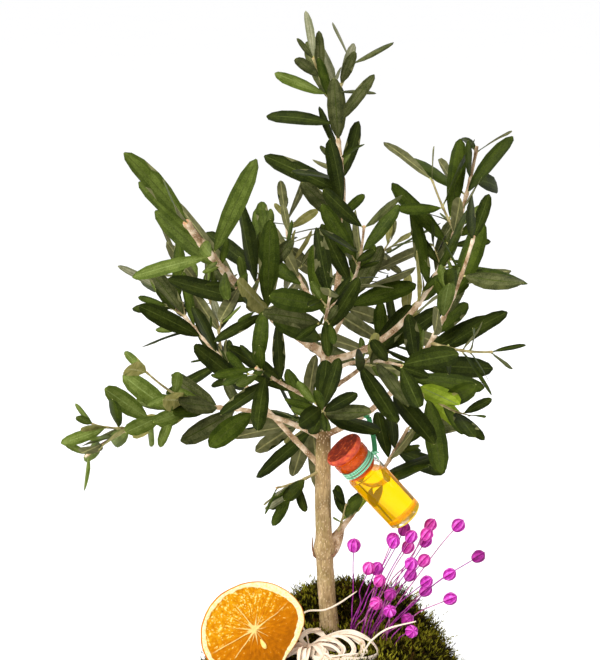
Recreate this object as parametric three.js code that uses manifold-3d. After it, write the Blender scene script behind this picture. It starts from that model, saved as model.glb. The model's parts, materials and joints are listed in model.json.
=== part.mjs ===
// Olive bonsai: a young olive grown as a small tree in a low round pot, with its gift decorations.
// Sizes are in millimetres, +Z is up, and the origin is the centre of the pot's flat underside.
// The tree is seen from -Y, with +X to the viewer's right.
import * as THREE from 'three';
import { mergeVertices } from 'three/addons/utils/BufferGeometryUtils.js';
import Module from 'manifold-3d';

const wasm = await Module();
wasm.setup();

// Clear gap kept between neighbouring pieces.
const gap = 0.3;

// Smallest edge and thinnest face kept where bodies are fused or cut.
const tidy = { shortest: 0.06, needle: 0.012, passes: 12 };

// Low round pot: radii, heights and wall.
const pot = {
  height: 68,
  baseRadius: 57,
  rimRadius: 79,
  lipHeight: 9,
  lipStep: 2.4,
  wall: 6,
  floor: 7,
  footHeight: 6,
  footStep: 3,
  sides: 30,
};

// Soil fills the pot to just under the rim.
const soil = { top: 60, sides: 24 };

// Moss mound over the soil: a dome with a higher bank behind the tree.
const moss = {
  edgeRadius: 71,
  edgeTop: 67,
  crown: 23,
  fullness: 8,
  bank: 19,
  bankX: 18,
  bankY: 33,
  bankWide: 42,
  bankDeep: 22,
  clump: 1.1,
  sides: 24,
  rings: 5,
};

// Trunk: where its foot stands, its flare and the swollen node of the side shoot.
const trunk = {
  footZ: 89,
  groundZ: 92,
  flare: 0.8,
  flareHeight: 7,
  nodeShare: 0.41,
  nodeSwell: 1.1,
  nodeHeight: 5,
  neck: 2.1,
  neckHeight: 6,
  sides: 10,
  rings: 14,
};

// Leaf blade: the stations from stalk to tip, each with its share of the full width.
const leafBlade = {
  stations: [0, 0.14, 0.33, 0.55, 0.78, 1],
  widths: [0.02, 0.55, 0.95, 1, 0.66, 0],
  thickness: 0.9,
  thickAt: 0.13,
  sunk: 0.8,
  corners: [1, 0.68, 0.25],
  cornerWidths: [0, 0.86, 0.9],
  smallCorners: [1, 0.42],
  smallWidths: [0, 1.15],
  small: 24,
  widest: 12.5,
};

// Growth: how far a leaf keeps from its neighbours' space and from bare wood.
const growth = { step: 4, margin: 1.6, woodClear: 1.6, lowest: 40 };

// Small glass bottle of oil tied to the right bough: two ends of its axis and its sizes.
const bottle = {
  top: new THREE.Vector3(5.8, -38.7, 210.5),
  foot: new THREE.Vector3(42.1, -25.4, 168.2),
  bodyRadius: 10.6,
  bodyLength: 37.6,
  shoulder: 2.4,
  neckRadius: 8.9,
  neckLength: 6,
  lipRadius: 10.4,
  lipHeight: 6.2,
  wall: 1.1,
  base: 3.2,
  oilLevel: 198.2,
  plugDrop: 2,
  capRadius: 11.3,
  capHeight: 4.8,
  clear: 12.5,
  sides: 16,
};

// Thread round the bottle's neck and over the bough.
const thread = { radius: 0.55, tieShare: 0.22, sides: 4, turns: 18 };

// Dried orange slice leaning on the moss at the front left.
const slice = {
  centre: new THREE.Vector3(-42.7, -43.5, 107.4),
  radius: 30,
  thickness: 5,
  edge: 1.2,
  lean: 14,
  turn: 8,
  sides: 40,
  // Its uneven rim: angle from the right, in degrees, and radius there.
  outline: [
    [15, 29.6], [57, 27.5], [86, 26.6], [104, 26.3], [118, 26.5], [130, 27.2], [159, 29], [185, 30.6],
    [204, 31.4], [214, 31.2], [240, 30.4], [262, 30], [285, 29], [300, 26.5], [311, 23.4], [328, 23.4],
    [349, 25.3],
  ],
};

// Raffia: flat ribbons bound at one knot in front of the foot, looping out over the moss, and two loose ends.
const raffia = {
  knot: [-12, -33],
  lift: 3.4,
  size: [3.6, 3, 3.6],
  width: 3,
  thick: 0.7,
  pieces: 10,
};
const raffiaLoops = [
  [
    [-2.7, -30, 98],
    [5.2, -30, 101],
    [13.7, -31, 101.4],
    [23.2, -36, 97.5],
    [26, -43, 92.3],
    [15, -48, 91],
    [0, -45, 92],
  ],
  [[-4, -31, 98], [3, -34, 97.5], [7, -40, 94], [3, -46, 91.4], [-6, -43, 92.4]],
  [[2, -30, 99.3], [10, -33, 97.5], [13, -39, 94], [9, -45, 91.4], [-1, -47, 91.4]],
  [[5, -29, 100], [17, -33, 97.5], [17, -40, 93], [11, -47, 91.2], [-4, -48, 91.2]],
  [[-17, -30, 98], [-11, -27, 101.5], [-4, -29, 99], [-4, -32, 96]],
  [[-18, -34, 95.5], [-21, -35.5, 93], [-15, -37.5, 92.5]],
  [[-10, -38, 94.5], [-10.5, -44, 91.8], [-5, -47, 91.2], [-3, -41, 93.5]],
];
const raffiaEnds = [
  [
    [-14, -28, 100],
    [-18, -23, 107],
    [-13, -21, 111],
    [-3.5, -20.5, 111.6],
    [4.4, -20, 115.1],
    [15, -19.5, 122.3],
  ],
  [[2, -46, 91.4], [16, -46, 91.6], [19, -46.5, 96.5], [23, -48.5, 103], [31.5, -52, 110.5], [47, -53, 115]],
];

// Dyed flax: stems on a low bundle; each spray has one foot and its pods as offsets from that foot.
const flax = {
  podRadius: 3.7,
  podTall: 1.12,
  stem: 0.45,
  bow: 0.1,
  footLift: 0.6,
  bundleAt: [23, -15.5],
  bundle: [14, 6.5, 1.8],
};
const flaxSprays = [
  { foot: [12.2, -13], pods: [[1, -5, 57], [9, -17, 47], [14, -7, 44], [15, -21, 41], [13, -25, 29]] },
  {
    foot: [17.9, -16],
    pods: [
      [17, -8, 62.5], [24, 5, 65], [17, -23, 65], [27, -15, 66], [26, -1, 56], [15, -27, 36],
    ],
  },
  {
    foot: [23.6, -12],
    pods: [
      [33, -3, 69], [30, -19, 68], [31, 7, 57], [29, -13, 51], [21, -27, 53], [22, -1, 39],
      [30, -21, 41],
    ],
  },
  { foot: [29.4, -14], pods: [[43, -1, 68], [54, -9, 52], [37, -21, 45], [38, -15, 29], [25, 1, 29]] },
  { foot: [33.7, -20], pods: [[-1, -25, 29], [9, -21, 23], [11, -27, 18]] },
];

// Limbs and shoots of the tree. Each starts at a share of its parent's length and reaches by a vector,
// bowed at its middle; root and tip are diameters, bare is the share without leaves, leaf is the usual
// blade length and slim its width share, spread the leaf angle, and pairs the seeds of its leaf pairs.
const shoots = [
  {
    name: 'trunk',
    reach: [-3.7, 0, 121.1], bow: [-2, 0, 0.5],
    root: 10.4, tip: 8.4,
  },
  {
    name: 'leader', parent: 'trunk', at: 1,
    reach: [0.5, 2, 47.8], bow: [-0.6, 0, -0.8],
    root: 5.2, tip: 4.4,
  },
  {
    name: 'top', mass: 'top', parent: 'leader', at: 1,
    reach: [3.1, 2, 138.6], bow: [8.5, 3, 0.5],
    root: 4, tip: 2.2, bare: 0.44, leaf: 37, slim: 0.21, spread: 48, bough: true, color: '#43592a',
    pairs: [14071, 22456, 2772, 28019, 11615, 28833, 22206, 1078],
  },
  {
    name: 'top_left', mass: 'top', parent: 'top', at: 1,
    reach: [-10.1, -10, 23.8], bow: [0, 0, -1.4],
    root: 2, tip: 1.2, bare: 0, leaf: 25, slim: 0.25, spread: 45,
    pairs: [3527, 13418, 28508],
  },
  {
    name: 'top_right', mass: 'top', parent: 'top', at: 1,
    reach: [11.8, 8, 19.5], bow: [0, 0, -1.2],
    root: 2, tip: 1.2, bare: 0, leaf: 25, slim: 0.25, spread: 45,
    pairs: [19140, 9165, 9490],
  },
  {
    name: 'upper_left', mass: 'upper_left', parent: 'leader', at: 0.9,
    reach: [-74.8, -63.8, 83.5], bow: [-3.1, 4.1, -5.7],
    root: 5, tip: 3.8, bare: 0.27, leaf: 47, slim: 0.205, spread: 55, bough: true,
    pairs: [14329, 2102, 25204, 13309, 1624, 9526, 28404, 18007],
  },
  {
    name: 'upper_left_side', mass: 'upper_left', parent: 'upper_left', at: 0.5,
    reach: [7.8, 4, 25.6], bow: [0, 0, -1.4],
    root: 2, tip: 1.3, bare: 0.1, leaf: 38, slim: 0.24, spread: 45,
    pairs: [22754, 13429, 24546],
  },
  {
    name: 'mid_left', mass: 'mid_left', parent: 'trunk', at: 0.8,
    reach: [-95.1, 46, 98.1], bow: [-0.2, -7, -0.4],
    root: 3.4, tip: 1.7, bare: 0.42, leaf: 34, slim: 0.225, spread: 55, bough: true,
    pairs: [6200, 19202, 11528, 5349, 29777, 9741, 15209, 17680, 14419],
  },
  {
    name: 'mid_left_side', mass: 'mid_left', parent: 'mid_left', at: 0.62,
    reach: [-22.1, 52.1, 39.9], bow: [5.2, 4, 6],
    root: 1.8, tip: 1.2, bare: 0.15, leaf: 30, slim: 0.23, spread: 50,
    pairs: [29999, 4647, 20564, 26233],
  },
  {
    name: 'low_left', mass: 'low_left', parent: 'trunk', at: 0.945,
    reach: [-133.3, -32, -2.9], bow: [-1.8, -4, 23.9],
    root: 3, tip: 1.4, bare: 0.26, leaf: 29, slim: 0.31, spread: 60, bough: true, color: '#56702f',
    pairs: [14098, 4678, 18101, 3053, 7314, 18301, 29193, 21724, 21206, 26394, 5756, 19281],
  },
  {
    name: 'low_left_side', mass: 'low_left', parent: 'low_left', at: 0.5,
    reach: [-29.7, -20, 24.5], bow: [0, 0, -2.2],
    root: 1.7, tip: 1.1, bare: 0.1, leaf: 26, slim: 0.33, spread: 50,
    pairs: [20088, 29008, 28105],
  },
  {
    name: 'low_left_tip', mass: 'low_left', parent: 'low_left', at: 0.8,
    reach: [-20.5, -11.8, 4.7], bow: [0, 0, -1.2],
    root: 1.4, tip: 1, bare: 0.1, leaf: 25, slim: 0.28, spread: 42,
    pairs: [22894, 26862, 4123],
  },
  {
    name: 'right_low', mass: 'right_low', parent: 'trunk', at: 0.965,
    reach: [81.1, -40, 119.9], bow: [8.9, -2, -16.7],
    root: 3.8, tip: 1.8, bare: 0.32, leaf: 36, slim: 0.255, spread: 55, bough: true,
    pairs: [22474, 19084, 17711, 13752, 29168, 13514, 14799, 22367, 26896],
  },
  {
    name: 'right_droop', mass: 'right_low', parent: 'right_low', at: 0.46,
    reach: [25.5, -31.6, -13.9], bow: [0, 0, -2.1],
    root: 1.9, tip: 1.2, bare: 0.1, leaf: 36, slim: 0.27, spread: 55,
    pairs: [20138, 10092, 8663, 4790],
  },
  {
    name: 'right_side', mass: 'right_low', parent: 'right_low', at: 0.62,
    reach: [33, -15.3, -2.5], bow: [0, 0, -1.8],
    root: 1.8, tip: 1.2, bare: 0.15, leaf: 34, slim: 0.25, spread: 50,
    pairs: [7429, 19036, 13640, 3834],
  },
  {
    name: 'upper_right', mass: 'upper_right', parent: 'leader', at: 0.82,
    reach: [88.4, 40.4, 118.4], bow: [11.7, 2.2, -27.9],
    root: 4.2, tip: 1.8, bare: 0.46, leaf: 38, slim: 0.24, spread: 55, bough: true,
    pairs: [14957, 16177, 17677, 15662, 7320, 26339, 10573, 1134, 5277, 19382],
  },
  {
    name: 'upper_right_side', mass: 'upper_right', parent: 'upper_right', at: 0.76,
    reach: [-13.8, -3.9, 30.4], bow: [0, 0, -1.7],
    root: 1.6, tip: 1.1, bare: 0.15, leaf: 36, slim: 0.24, spread: 42,
    pairs: [17622, 20307, 27865],
  },
  {
    name: 'inner_right', mass: 'inner_right', parent: 'leader', at: 0.45,
    reach: [52.1, 87.1, 27.9], bow: [0.5, -4.4, -4],
    root: 3, tip: 1.5, bare: 0.4, leaf: 36, slim: 0.26, spread: 55, bough: true,
    pairs: [28677, 13363, 6760, 29283, 12673, 7919, 3787, 10471],
  },
  {
    name: 'low_right', mass: 'low_right', parent: 'trunk', at: 0.41,
    reach: [49, 26, 65.2], bow: [0, 0, -4.3],
    root: 3.2, tip: 1.7, bare: 0.5, leaf: 34, slim: 0.27, spread: 50, bough: true,
    pairs: [5119, 12400, 21004, 28437, 13053],
  },
  {
    name: 'low_twig', mass: 'low_twig', parent: 'trunk', at: 0.8,
    reach: [-26.7, -18, -6.8], bow: [0, 0, -1.6],
    root: 1.9, tip: 1.2, bare: 0.25, leaf: 28, slim: 0.23, spread: 50,
    pairs: [12147, 28146, 27664, 15056],
  },
  {
    name: 'inner_top', mass: 'inner_top', parent: 'top', at: 0.2,
    reach: [14.9, -32.3, 43.8], bow: [2.5, 1.8, -10.8],
    root: 2.4, tip: 1.3, bare: 0.35, leaf: 32, slim: 0.23, spread: 50, bough: true,
    pairs: [24965, 27028, 558, 8026, 8299],
  },
  {
    name: 'back_left', mass: 'back_left', parent: 'top', at: 0.12,
    reach: [-26.5, 74.5, 43.8], bow: [-4.9, -4.8, -6.7],
    root: 3, tip: 1.5, bare: 0.4, leaf: 36, slim: 0.25, spread: 55, bough: true,
    pairs: [29212, 16456, 661, 8536, 28431, 28507, 12067, 26380],
  },
  {
    name: 'front_low', mass: 'front_low', parent: 'leader', at: 0.25,
    reach: [-1.5, -62.5, 13.5], bow: [0, 0, -3.2],
    root: 2.6, tip: 1.4, bare: 0.35, leaf: 36, slim: 0.29, spread: 65, bough: true,
    pairs: [14535, 9174, 28600, 18366, 3864],
  },
  {
    name: 'back_right', mass: 'back_right', parent: 'leader', at: 0.86,
    reach: [36.3, 74.3, 51.1], bow: [-1.8, -4.9, 2.2],
    root: 3, tip: 1.5, bare: 0.4, leaf: 38, slim: 0.26, spread: 55, bough: true,
    pairs: [19189, 2524, 7502, 27883, 13388, 574, 19066, 29164],
  },
  {
    name: 'front_mid', mass: 'front_mid', parent: 'leader', at: 0.7,
    reach: [2.6, -59.4, 52.8], bow: [-1.6, -1.7, 0.1],
    root: 2.6, tip: 1.4, bare: 0.35, leaf: 36, slim: 0.26, spread: 60, bough: true,
    pairs: [2523, 16043, 20492, 24149, 13927, 9032],
  },
  {
    name: 'front_right', mass: 'front_right', parent: 'leader', at: 0.6,
    reach: [41.6, -63.2, 20.1], bow: [-3.2, 0.4, 6.1],
    root: 2.6, tip: 1.4, bare: 0.35, leaf: 38, slim: 0.29, spread: 60, bough: true,
    pairs: [7674, 27289, 24997, 2824, 18974, 9795],
  },
  {
    name: 'front_left', mass: 'front_left', parent: 'leader', at: 0.3,
    reach: [-37.3, -52.6, 31.3], bow: [-0.3, -0.3, -0.8],
    root: 2.6, tip: 1.4, bare: 0.35, leaf: 38, slim: 0.24, spread: 55, bough: true,
    pairs: [7966, 17780, 6155, 11999, 14808, 24797],
  },
  {
    name: 'low_bud', mass: 'low_bud', parent: 'low_right', at: 0.16,
    reach: [4.5, -12.2, 20.2], bow: [0, 0, -1.2],
    root: 1.5, tip: 1, bare: 0.25, leaf: 22, slim: 0.42, spread: 50,
    pairs: [26053, 14211, 26908],
  },
  {
    name: 'back_low', mass: 'back_low', parent: 'trunk', at: 0.93,
    reach: [-14.7, 84, -5.3], bow: [1, -2, 3.9],
    root: 2.6, tip: 1.4, bare: 0.35, leaf: 34, slim: 0.27, spread: 60, bough: true,
    pairs: [24132, 12573, 14947, 25036, 749, 1515, 15908],
  },
];

const up = new THREE.Vector3(0, 0, 1);
const back = new THREE.Vector3(0, 1, 0);

// Seeded random numbers.
function seeded(seed) {
  let state = (seed * 48271) % 2147483647;
  const next = () => {
    state = (state * 16807) % 2147483647;
    return state / 2147483647;
  };
  next();
  next();
  next();
  return next;
}

// Closed body from a three.js geometry, without doubled corners or empty faces.
function toSolid(geometry) {
  const plain = geometry.clone();
  plain.deleteAttribute('normal');
  plain.deleteAttribute('uv');
  const merged = mergeVertices(plain, 1e-4);
  const faces = [];
  const index = merged.index.array;
  for (let i = 0; i < index.length; i += 3) {
    const [a, b, c] = [index[i], index[i + 1], index[i + 2]];
    if (a !== b && b !== c && c !== a) faces.push(a, b, c);
  }
  return new wasm.Manifold(new wasm.Mesh({
    numProp: 3,
    vertProperties: new Float32Array(merged.attributes.position.array),
    triVerts: new Uint32Array(faces),
  }));
}

// Faces of a fused body as an editable net of corners and triangles.
class FaceNet {
  constructor(mesh) {
    const values = mesh.vertProperties;
    this.corners = [];
    for (let i = 0; i < values.length; i += mesh.numProp) {
      this.corners.push(new THREE.Vector3(values[i], values[i + 1], values[i + 2]));
    }
    this.around = this.corners.map(() => new Set());
    this.faces = new Set();
    for (let i = 0; i < mesh.triVerts.length; i += 3) this.add([...mesh.triVerts.slice(i, i + 3)]);
  }

  add(face) {
    this.faces.add(face);
    for (const corner of face) this.around[corner].add(face);
  }

  remove(face) {
    this.faces.delete(face);
    for (const corner of face) this.around[corner].delete(face);
  }

  neighbours(corner) {
    return new Set([...this.around[corner]].flat().filter((other) => other !== corner));
  }

  square(face) {
    const [a, b, c] = face.map((corner) => this.corners[corner]);
    return new THREE.Vector3().crossVectors(b.clone().sub(a), c.clone().sub(a));
  }

  // Draws corner b into corner a, unless that would fold a face over or pinch the body.
  collapse(a, b) {
    const shared = [...this.neighbours(a)].filter((corner) => this.neighbours(b).has(corner));
    if (shared.length !== 2) return false;
    const moved = [...this.around[b]].filter((face) => !face.includes(a));
    for (const face of moved) {
      const before = this.square(face);
      const after = this.square(face.map((corner) => (corner === b ? a : corner)));
      if (before.length() > 1e-4 && before.dot(after) <= 0) return false;
    }
    for (const face of [...this.around[b]]) this.remove(face);
    for (const face of moved) this.add(face.map((corner) => (corner === b ? a : corner)));
    return true;
  }

  // Swaps the long edge of a needle face for the other diagonal.
  swap(face) {
    const length = (i) => this.corners[face[i]].distanceTo(this.corners[face[(i + 1) % 3]]);
    const longest = [0, 1, 2].sort((i, j) => length(j) - length(i))[0];
    if (this.square(face).length() / length(longest) > tidy.needle) return false;
    const [a, b, c] = [0, 1, 2].map((i) => face[(longest + i) % 3]);
    const other = [...this.around[a]].find((next) => next !== face && next.includes(b));
    const d = other.find((corner) => corner !== a && corner !== b);
    if (d === c || this.neighbours(c).has(d)) return false;
    const pair = [[a, d, c], [d, b, c]];
    if (pair.some((next) => this.square(next).dot(this.square(other)) <= 0)) return false;
    this.remove(face);
    this.remove(other);
    pair.forEach((next) => this.add(next));
    return true;
  }

  tidyUp() {
    for (let pass = 0; pass < tidy.passes; pass++) {
      let changed = 0;
      for (const face of [...this.faces]) {
        if (!this.faces.has(face)) continue;
        const short = [0, 1, 2].map((i) => [face[i], face[(i + 1) % 3]])
          .find(([a, b]) => this.corners[a].distanceTo(this.corners[b]) < tidy.shortest);
        if (short && (this.collapse(short[0], short[1]) || this.collapse(short[1], short[0]))) changed += 1;
        else if (!short && this.swap(face)) changed += 1;
      }
      if (!changed) break;
    }
  }

  geometry() {
    const points = [...this.faces].flat().map((corner) => this.corners[corner]);
    const flat = new THREE.BufferGeometry().setFromPoints(points);
    flat.computeVertexNormals();
    return flat;
  }
}

// Geometry of the largest piece of a body, with its sealed hollows filled and loose scraps dropped.
function toGeometry(solid) {
  let main = null;
  for (const piece of solid.decompose()) {
    if (!main || piece.volume() > main.volume()) main = piece;
  }
  const net = new FaceNet(main.getMesh());
  net.tidyUp();
  return net.geometry();
}

// Moves every corner of a geometry by a function of its place.
function reshape(geometry, move) {
  const position = geometry.attributes.position;
  const point = new THREE.Vector3();
  for (let i = 0; i < position.count; i++) {
    point.fromBufferAttribute(position, i);
    const moved = move(point);
    position.setXYZ(i, moved.x, moved.y, moved.z);
  }
  return geometry;
}

// Sideways and upward directions square to a heading.
function crossFrame(heading, reference) {
  const side = new THREE.Vector3().crossVectors(heading, reference).normalize();
  const rise = new THREE.Vector3().crossVectors(side, heading);
  return { side, rise };
}

// Round tapering limb along a curve, from one share of it to another.
function limb(curve, from, to, radiusAt, sides, rings) {
  const chord = curve.tangent(0.5 * (from + to));
  const reference = Math.abs(chord.z) > 0.85 ? back : up;
  const tube = new THREE.CylinderGeometry(1, 1, 1, sides, rings);
  return reshape(tube, (point) => {
    const share = from + (to - from) * (point.y + 0.5);
    const { side, rise } = crossFrame(curve.tangent(share), reference);
    const radius = radiusAt(share);
    return curve.point(share).addScaledVector(side, point.x * radius).addScaledVector(rise, point.z * radius);
  });
}

// Bowed curve from a start, by a reach, with an offset at its middle.
function bowed(start, reach, bow) {
  const curve = {
    point: (t) => start.clone().addScaledVector(reach, t).addScaledVector(bow, 4 * t * (1 - t)),
    tangent: (t) => reach.clone().addScaledVector(bow, 4 - 8 * t).normalize(),
  };
  curve.length = 0;
  for (let i = 0; i < 20; i++) {
    curve.length += curve.point((i + 1) / 20).distanceTo(curve.point(i / 20));
  }
  return curve;
}

// Lays out every shoot on its parent.
const byName = {};
for (const shoot of shoots) {
  const parent = byName[shoot.parent];
  const start = parent ? parent.curve.point(shoot.at) : new THREE.Vector3(0, 0, trunk.groundZ);
  shoot.curve = bowed(start, new THREE.Vector3(...shoot.reach), new THREE.Vector3(...shoot.bow));
  shoot.radiusAt = (t) => (shoot.root + (shoot.tip - shoot.root) * t) / 2;
  byName[shoot.name] = shoot;
}
const massNames = [...new Set(shoots.filter((shoot) => shoot.mass).map((shoot) => shoot.mass))];

// Points along leafy stems and along bare wood, which share out the space between the masses.
const stemPoints = [];
const woodPoints = [];
for (const shoot of shoots) {
  const count = Math.max(4, Math.floor(shoot.curve.length / growth.step));
  for (let i = 0; i <= count; i++) {
    const t = i / count;
    const point = shoot.curve.point(t);
    if (shoot.mass && t >= shoot.bare) stemPoints.push({ point, mass: shoot.mass });
    else woodPoints.push({ point, radius: shoot.radiusAt(t) });
  }
}

// The two opposite leaves of one node of a shoot.
function leafPair(shoot, k, seed) {
  const random = seeded(seed);
  const count = shoot.pairs.length;
  const last = k === count - 1;
  const drawn = shoot.bare + ((1 - shoot.bare) * (k + 0.3 + 0.5 * random())) / count;
  const t = last ? 0.985 : drawn;
  const heading = shoot.curve.tangent(t);
  const base = shoot.curve.point(t);
  const { side, rise } = crossFrame(heading, Math.abs(heading.z) > 0.85 ? back : up);
  const roll = (Math.PI / 2) * k + (random() - 0.5) * 2;
  const spread = THREE.MathUtils.degToRad(shoot.spread) * (last ? 0.62 : 1);
  const leaves = [];
  for (let half = 0; half < 2; half++) {
    const phase = roll + Math.PI * half + (random() - 0.5) * 0.6;
    const outward = side.clone().multiplyScalar(Math.cos(phase)).addScaledVector(rise, Math.sin(phase));
    const angle = spread * (0.65 + 0.7 * random());
    const along = heading.clone().multiplyScalar(Math.cos(angle)).addScaledVector(outward, Math.sin(angle));
    along.z += (random() - 0.5) * 0.7;
    along.normalize();
    const flat = new THREE.Vector3().crossVectors(heading, along).normalize();
    const face = new THREE.Vector3().crossVectors(along, flat);
    const twist = (random() - 0.5) * 2.6;
    const across = flat.clone().multiplyScalar(Math.cos(twist)).addScaledVector(face, Math.sin(twist));
    const normal = new THREE.Vector3().crossVectors(along, across);
    const length = shoot.leaf * (0.62 + 0.8 * random()) * (1 - 0.25 * (k / count) ** 2);
    const width = Math.min(length * shoot.slim * (0.85 + 0.3 * random()), leafBlade.widest);
    const bend = (random() - 0.25) * 0.16 * length;
    leaves.push({ base, along, across, normal, length, width, bend, stem: shoot.radiusAt(t) });
  }
  return leaves;
}

// Point of a leaf at a share of its length, set across by an offset.
function leafPoint(leaf, share, offset) {
  return leaf.base.clone()
    .addScaledVector(leaf.along, share * leaf.length)
    .addScaledVector(leaf.normal, -share * share * leaf.bend)
    .addScaledVector(leaf.across, offset);
}

function distanceToBottle(point) {
  const axis = bottle.foot.clone().sub(bottle.top);
  const share = THREE.MathUtils.clamp(point.clone().sub(bottle.top).dot(axis) / axis.lengthSq(), 0, 1);
  return point.distanceTo(bottle.top.clone().addScaledVector(axis, share));
}

// A leaf is kept when it stays in its own mass's space and off the wood, the bottle and the ground.
function leafFits(leaf, mass) {
  const last = leafBlade.stations.length - 1;
  for (let i = 1; i <= last; i++) {
    for (const sign of i === last ? [1] : [1, -1]) {
      const offset = (sign * leafBlade.widths[i] * leaf.width) / 2;
      const point = leafPoint(leaf, leafBlade.stations[i], offset);
      let own = Infinity;
      let other = Infinity;
      for (const stem of stemPoints) {
        const distance = point.distanceTo(stem.point);
        if (stem.mass === mass) own = Math.min(own, distance);
        else other = Math.min(other, distance);
      }
      if (own + growth.margin > other) return false;
      if (distanceToBottle(point) < bottle.clear + 1) return false;
      if (point.z < trunk.groundZ + growth.lowest) return false;
      if (i < 2) continue;
      for (const wood of woodPoints) {
        if (point.distanceTo(wood.point) - wood.radius < growth.woodClear) return false;
      }
    }
  }
  return true;
}

// Thin pointed blade whose root is sunk through the stem.
function leafSolid(leaf) {
  const simple = leaf.length < leafBlade.small;
  const facets = simple ? 4 : 6;
  const corners = simple ? leafBlade.smallCorners : leafBlade.corners;
  const widths = simple ? leafBlade.smallWidths : leafBlade.cornerWidths;
  const blade = new THREE.SphereGeometry(1, facets, 2);
  const sunk = -leafBlade.sunk * leaf.stem / leaf.length;
  return toSolid(reshape(blade, (point) => {
    if (Math.abs(point.y) > 0.5) {
      return leafPoint(leaf, leafBlade.thickAt, 0)
        .addScaledVector(leaf.normal, Math.sign(point.y) * leafBlade.thickness / 2);
    }
    const corner = Math.round(Math.abs(Math.atan2(point.z, -point.x)) / (2 * Math.PI / facets));
    const sign = Math.sign(point.z);
    if (corner === corners.length) return leafPoint(leaf, sunk, 0);
    const offset = corner === 0 ? 0 : sign * widths[corner] * leaf.width / 2;
    return leafPoint(leaf, corners[corner], offset);
  }));
}

// Limbs as bodies, and a slightly fatter copy of each for keeping neighbours clear of it.
const woodBodies = [];
function woodSolid(shoot, from, to, sides, rings, radiusAt = shoot.radiusAt) {
  let body = toSolid(limb(shoot.curve, from, to, radiusAt, sides, rings));
  for (const other of woodBodies) body = body.subtract(other.fat);
  const fat = toSolid(limb(shoot.curve, from, to, (t) => radiusAt(t) + gap, sides, rings));
  woodBodies.push({ name: shoot.name, fat });
  return body;
}

const bonsai = new THREE.Group();
bonsai.name = 'olive_bonsai';

function addPart(name, geometry, color, roughness, metalness = 0, extra = {}) {
  const material = new THREE.MeshStandardMaterial({ color, roughness, metalness, ...extra });
  const mesh = new THREE.Mesh(geometry, material);
  mesh.name = name;
  bonsai.add(mesh);
}

function turned(profile, sides) {
  const lathe = new THREE.LatheGeometry(profile.map(([r, z]) => new THREE.Vector2(r, z)), sides);
  return lathe.rotateX(Math.PI / 2);
}

// Pot
const lipBottom = pot.height - pot.lipHeight;
const wallTop = pot.rimRadius - pot.lipStep;
const innerTop = pot.rimRadius - pot.wall - 0.4;
const innerFoot = pot.baseRadius - pot.wall;
const potProfile = [
  [0, 0],
  [pot.baseRadius - pot.footStep, 0],
  [pot.baseRadius - pot.footStep, pot.footHeight - 2],
  [pot.baseRadius, pot.footHeight],
  [wallTop, lipBottom - 2],
  [pot.rimRadius, lipBottom],
  [pot.rimRadius, pot.height - 1.5],
  [pot.rimRadius - 1.5, pot.height],
  [innerTop + 1.2, pot.height],
  [innerTop, pot.height - 1.2],
  [innerFoot, pot.floor],
  [0, pot.floor],
];
addPart('pot', toGeometry(toSolid(turned(potProfile, pot.sides))), '#6f4a38', 0.75);

// Soil
const innerSlope = (innerTop - innerFoot) / (pot.height - 1.2 - pot.floor);
const innerAt = (z) => innerFoot + innerSlope * (z - pot.floor);
const soilGap = 0.6;
const soilProfile = [
  [0, pot.floor + gap],
  [innerAt(pot.floor + gap) - soilGap, pot.floor + gap],
  [innerAt(soil.top) - soilGap, soil.top],
  [0, soil.top],
];
addPart('soil', toGeometry(toSolid(turned(soilProfile, soil.sides))), '#3a2a1c', 0.95);

// Moss mound
function mossHeight(x, y) {
  const r = Math.min(Math.hypot(x, y) / moss.edgeRadius, 1);
  const dome = moss.crown * (1 - r ** moss.fullness);
  const bankX = (x - moss.bankX) / moss.bankWide;
  const bankY = (y - moss.bankY) / moss.bankDeep;
  const bank = moss.bank * Math.exp(-(bankX ** 4) - Math.abs(bankY) ** 3) * (1 - r ** 6);
  const clumps = moss.clump * (Math.sin(x * 0.31 + 1.3) * Math.cos(y * 0.27) + Math.sin(x * 0.13 - y * 0.37));
  return moss.edgeTop + dome + bank + clumps * (1 - r ** 4);
}
const mossProfile = [[0, soil.top + gap], [innerAt(soil.top + gap) - soilGap, soil.top + gap]];
mossProfile.push([moss.edgeRadius, moss.edgeTop - 1.2]);
for (let i = moss.rings; i >= 0; i--) {
  const share = i === moss.rings ? 0.985 : (i / moss.rings) ** 0.8;
  mossProfile.push([moss.edgeRadius * share, moss.edgeTop]);
}
const mossBody = toSolid(reshape(turned(mossProfile, moss.sides), (point) => {
  if (point.z < moss.edgeTop - 0.01) return point;
  return new THREE.Vector3(point.x, point.y, mossHeight(point.x, point.y));
}));
const socketRadius = byName.trunk.root / 2 + trunk.flare + gap;
const socket = new THREE.CylinderGeometry(socketRadius, socketRadius, 60, 24).rotateX(Math.PI / 2);
socket.translate(0, 0, trunk.footZ - gap + 30);
const mossCut = mossBody.subtract(toSolid(socket)).subtract(sliceBody(gap));
addPart('moss', toGeometry(mossCut), '#4a5216', 0.95);
const mossSeat = mossBody.translate([0, 0, gap]);

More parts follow.
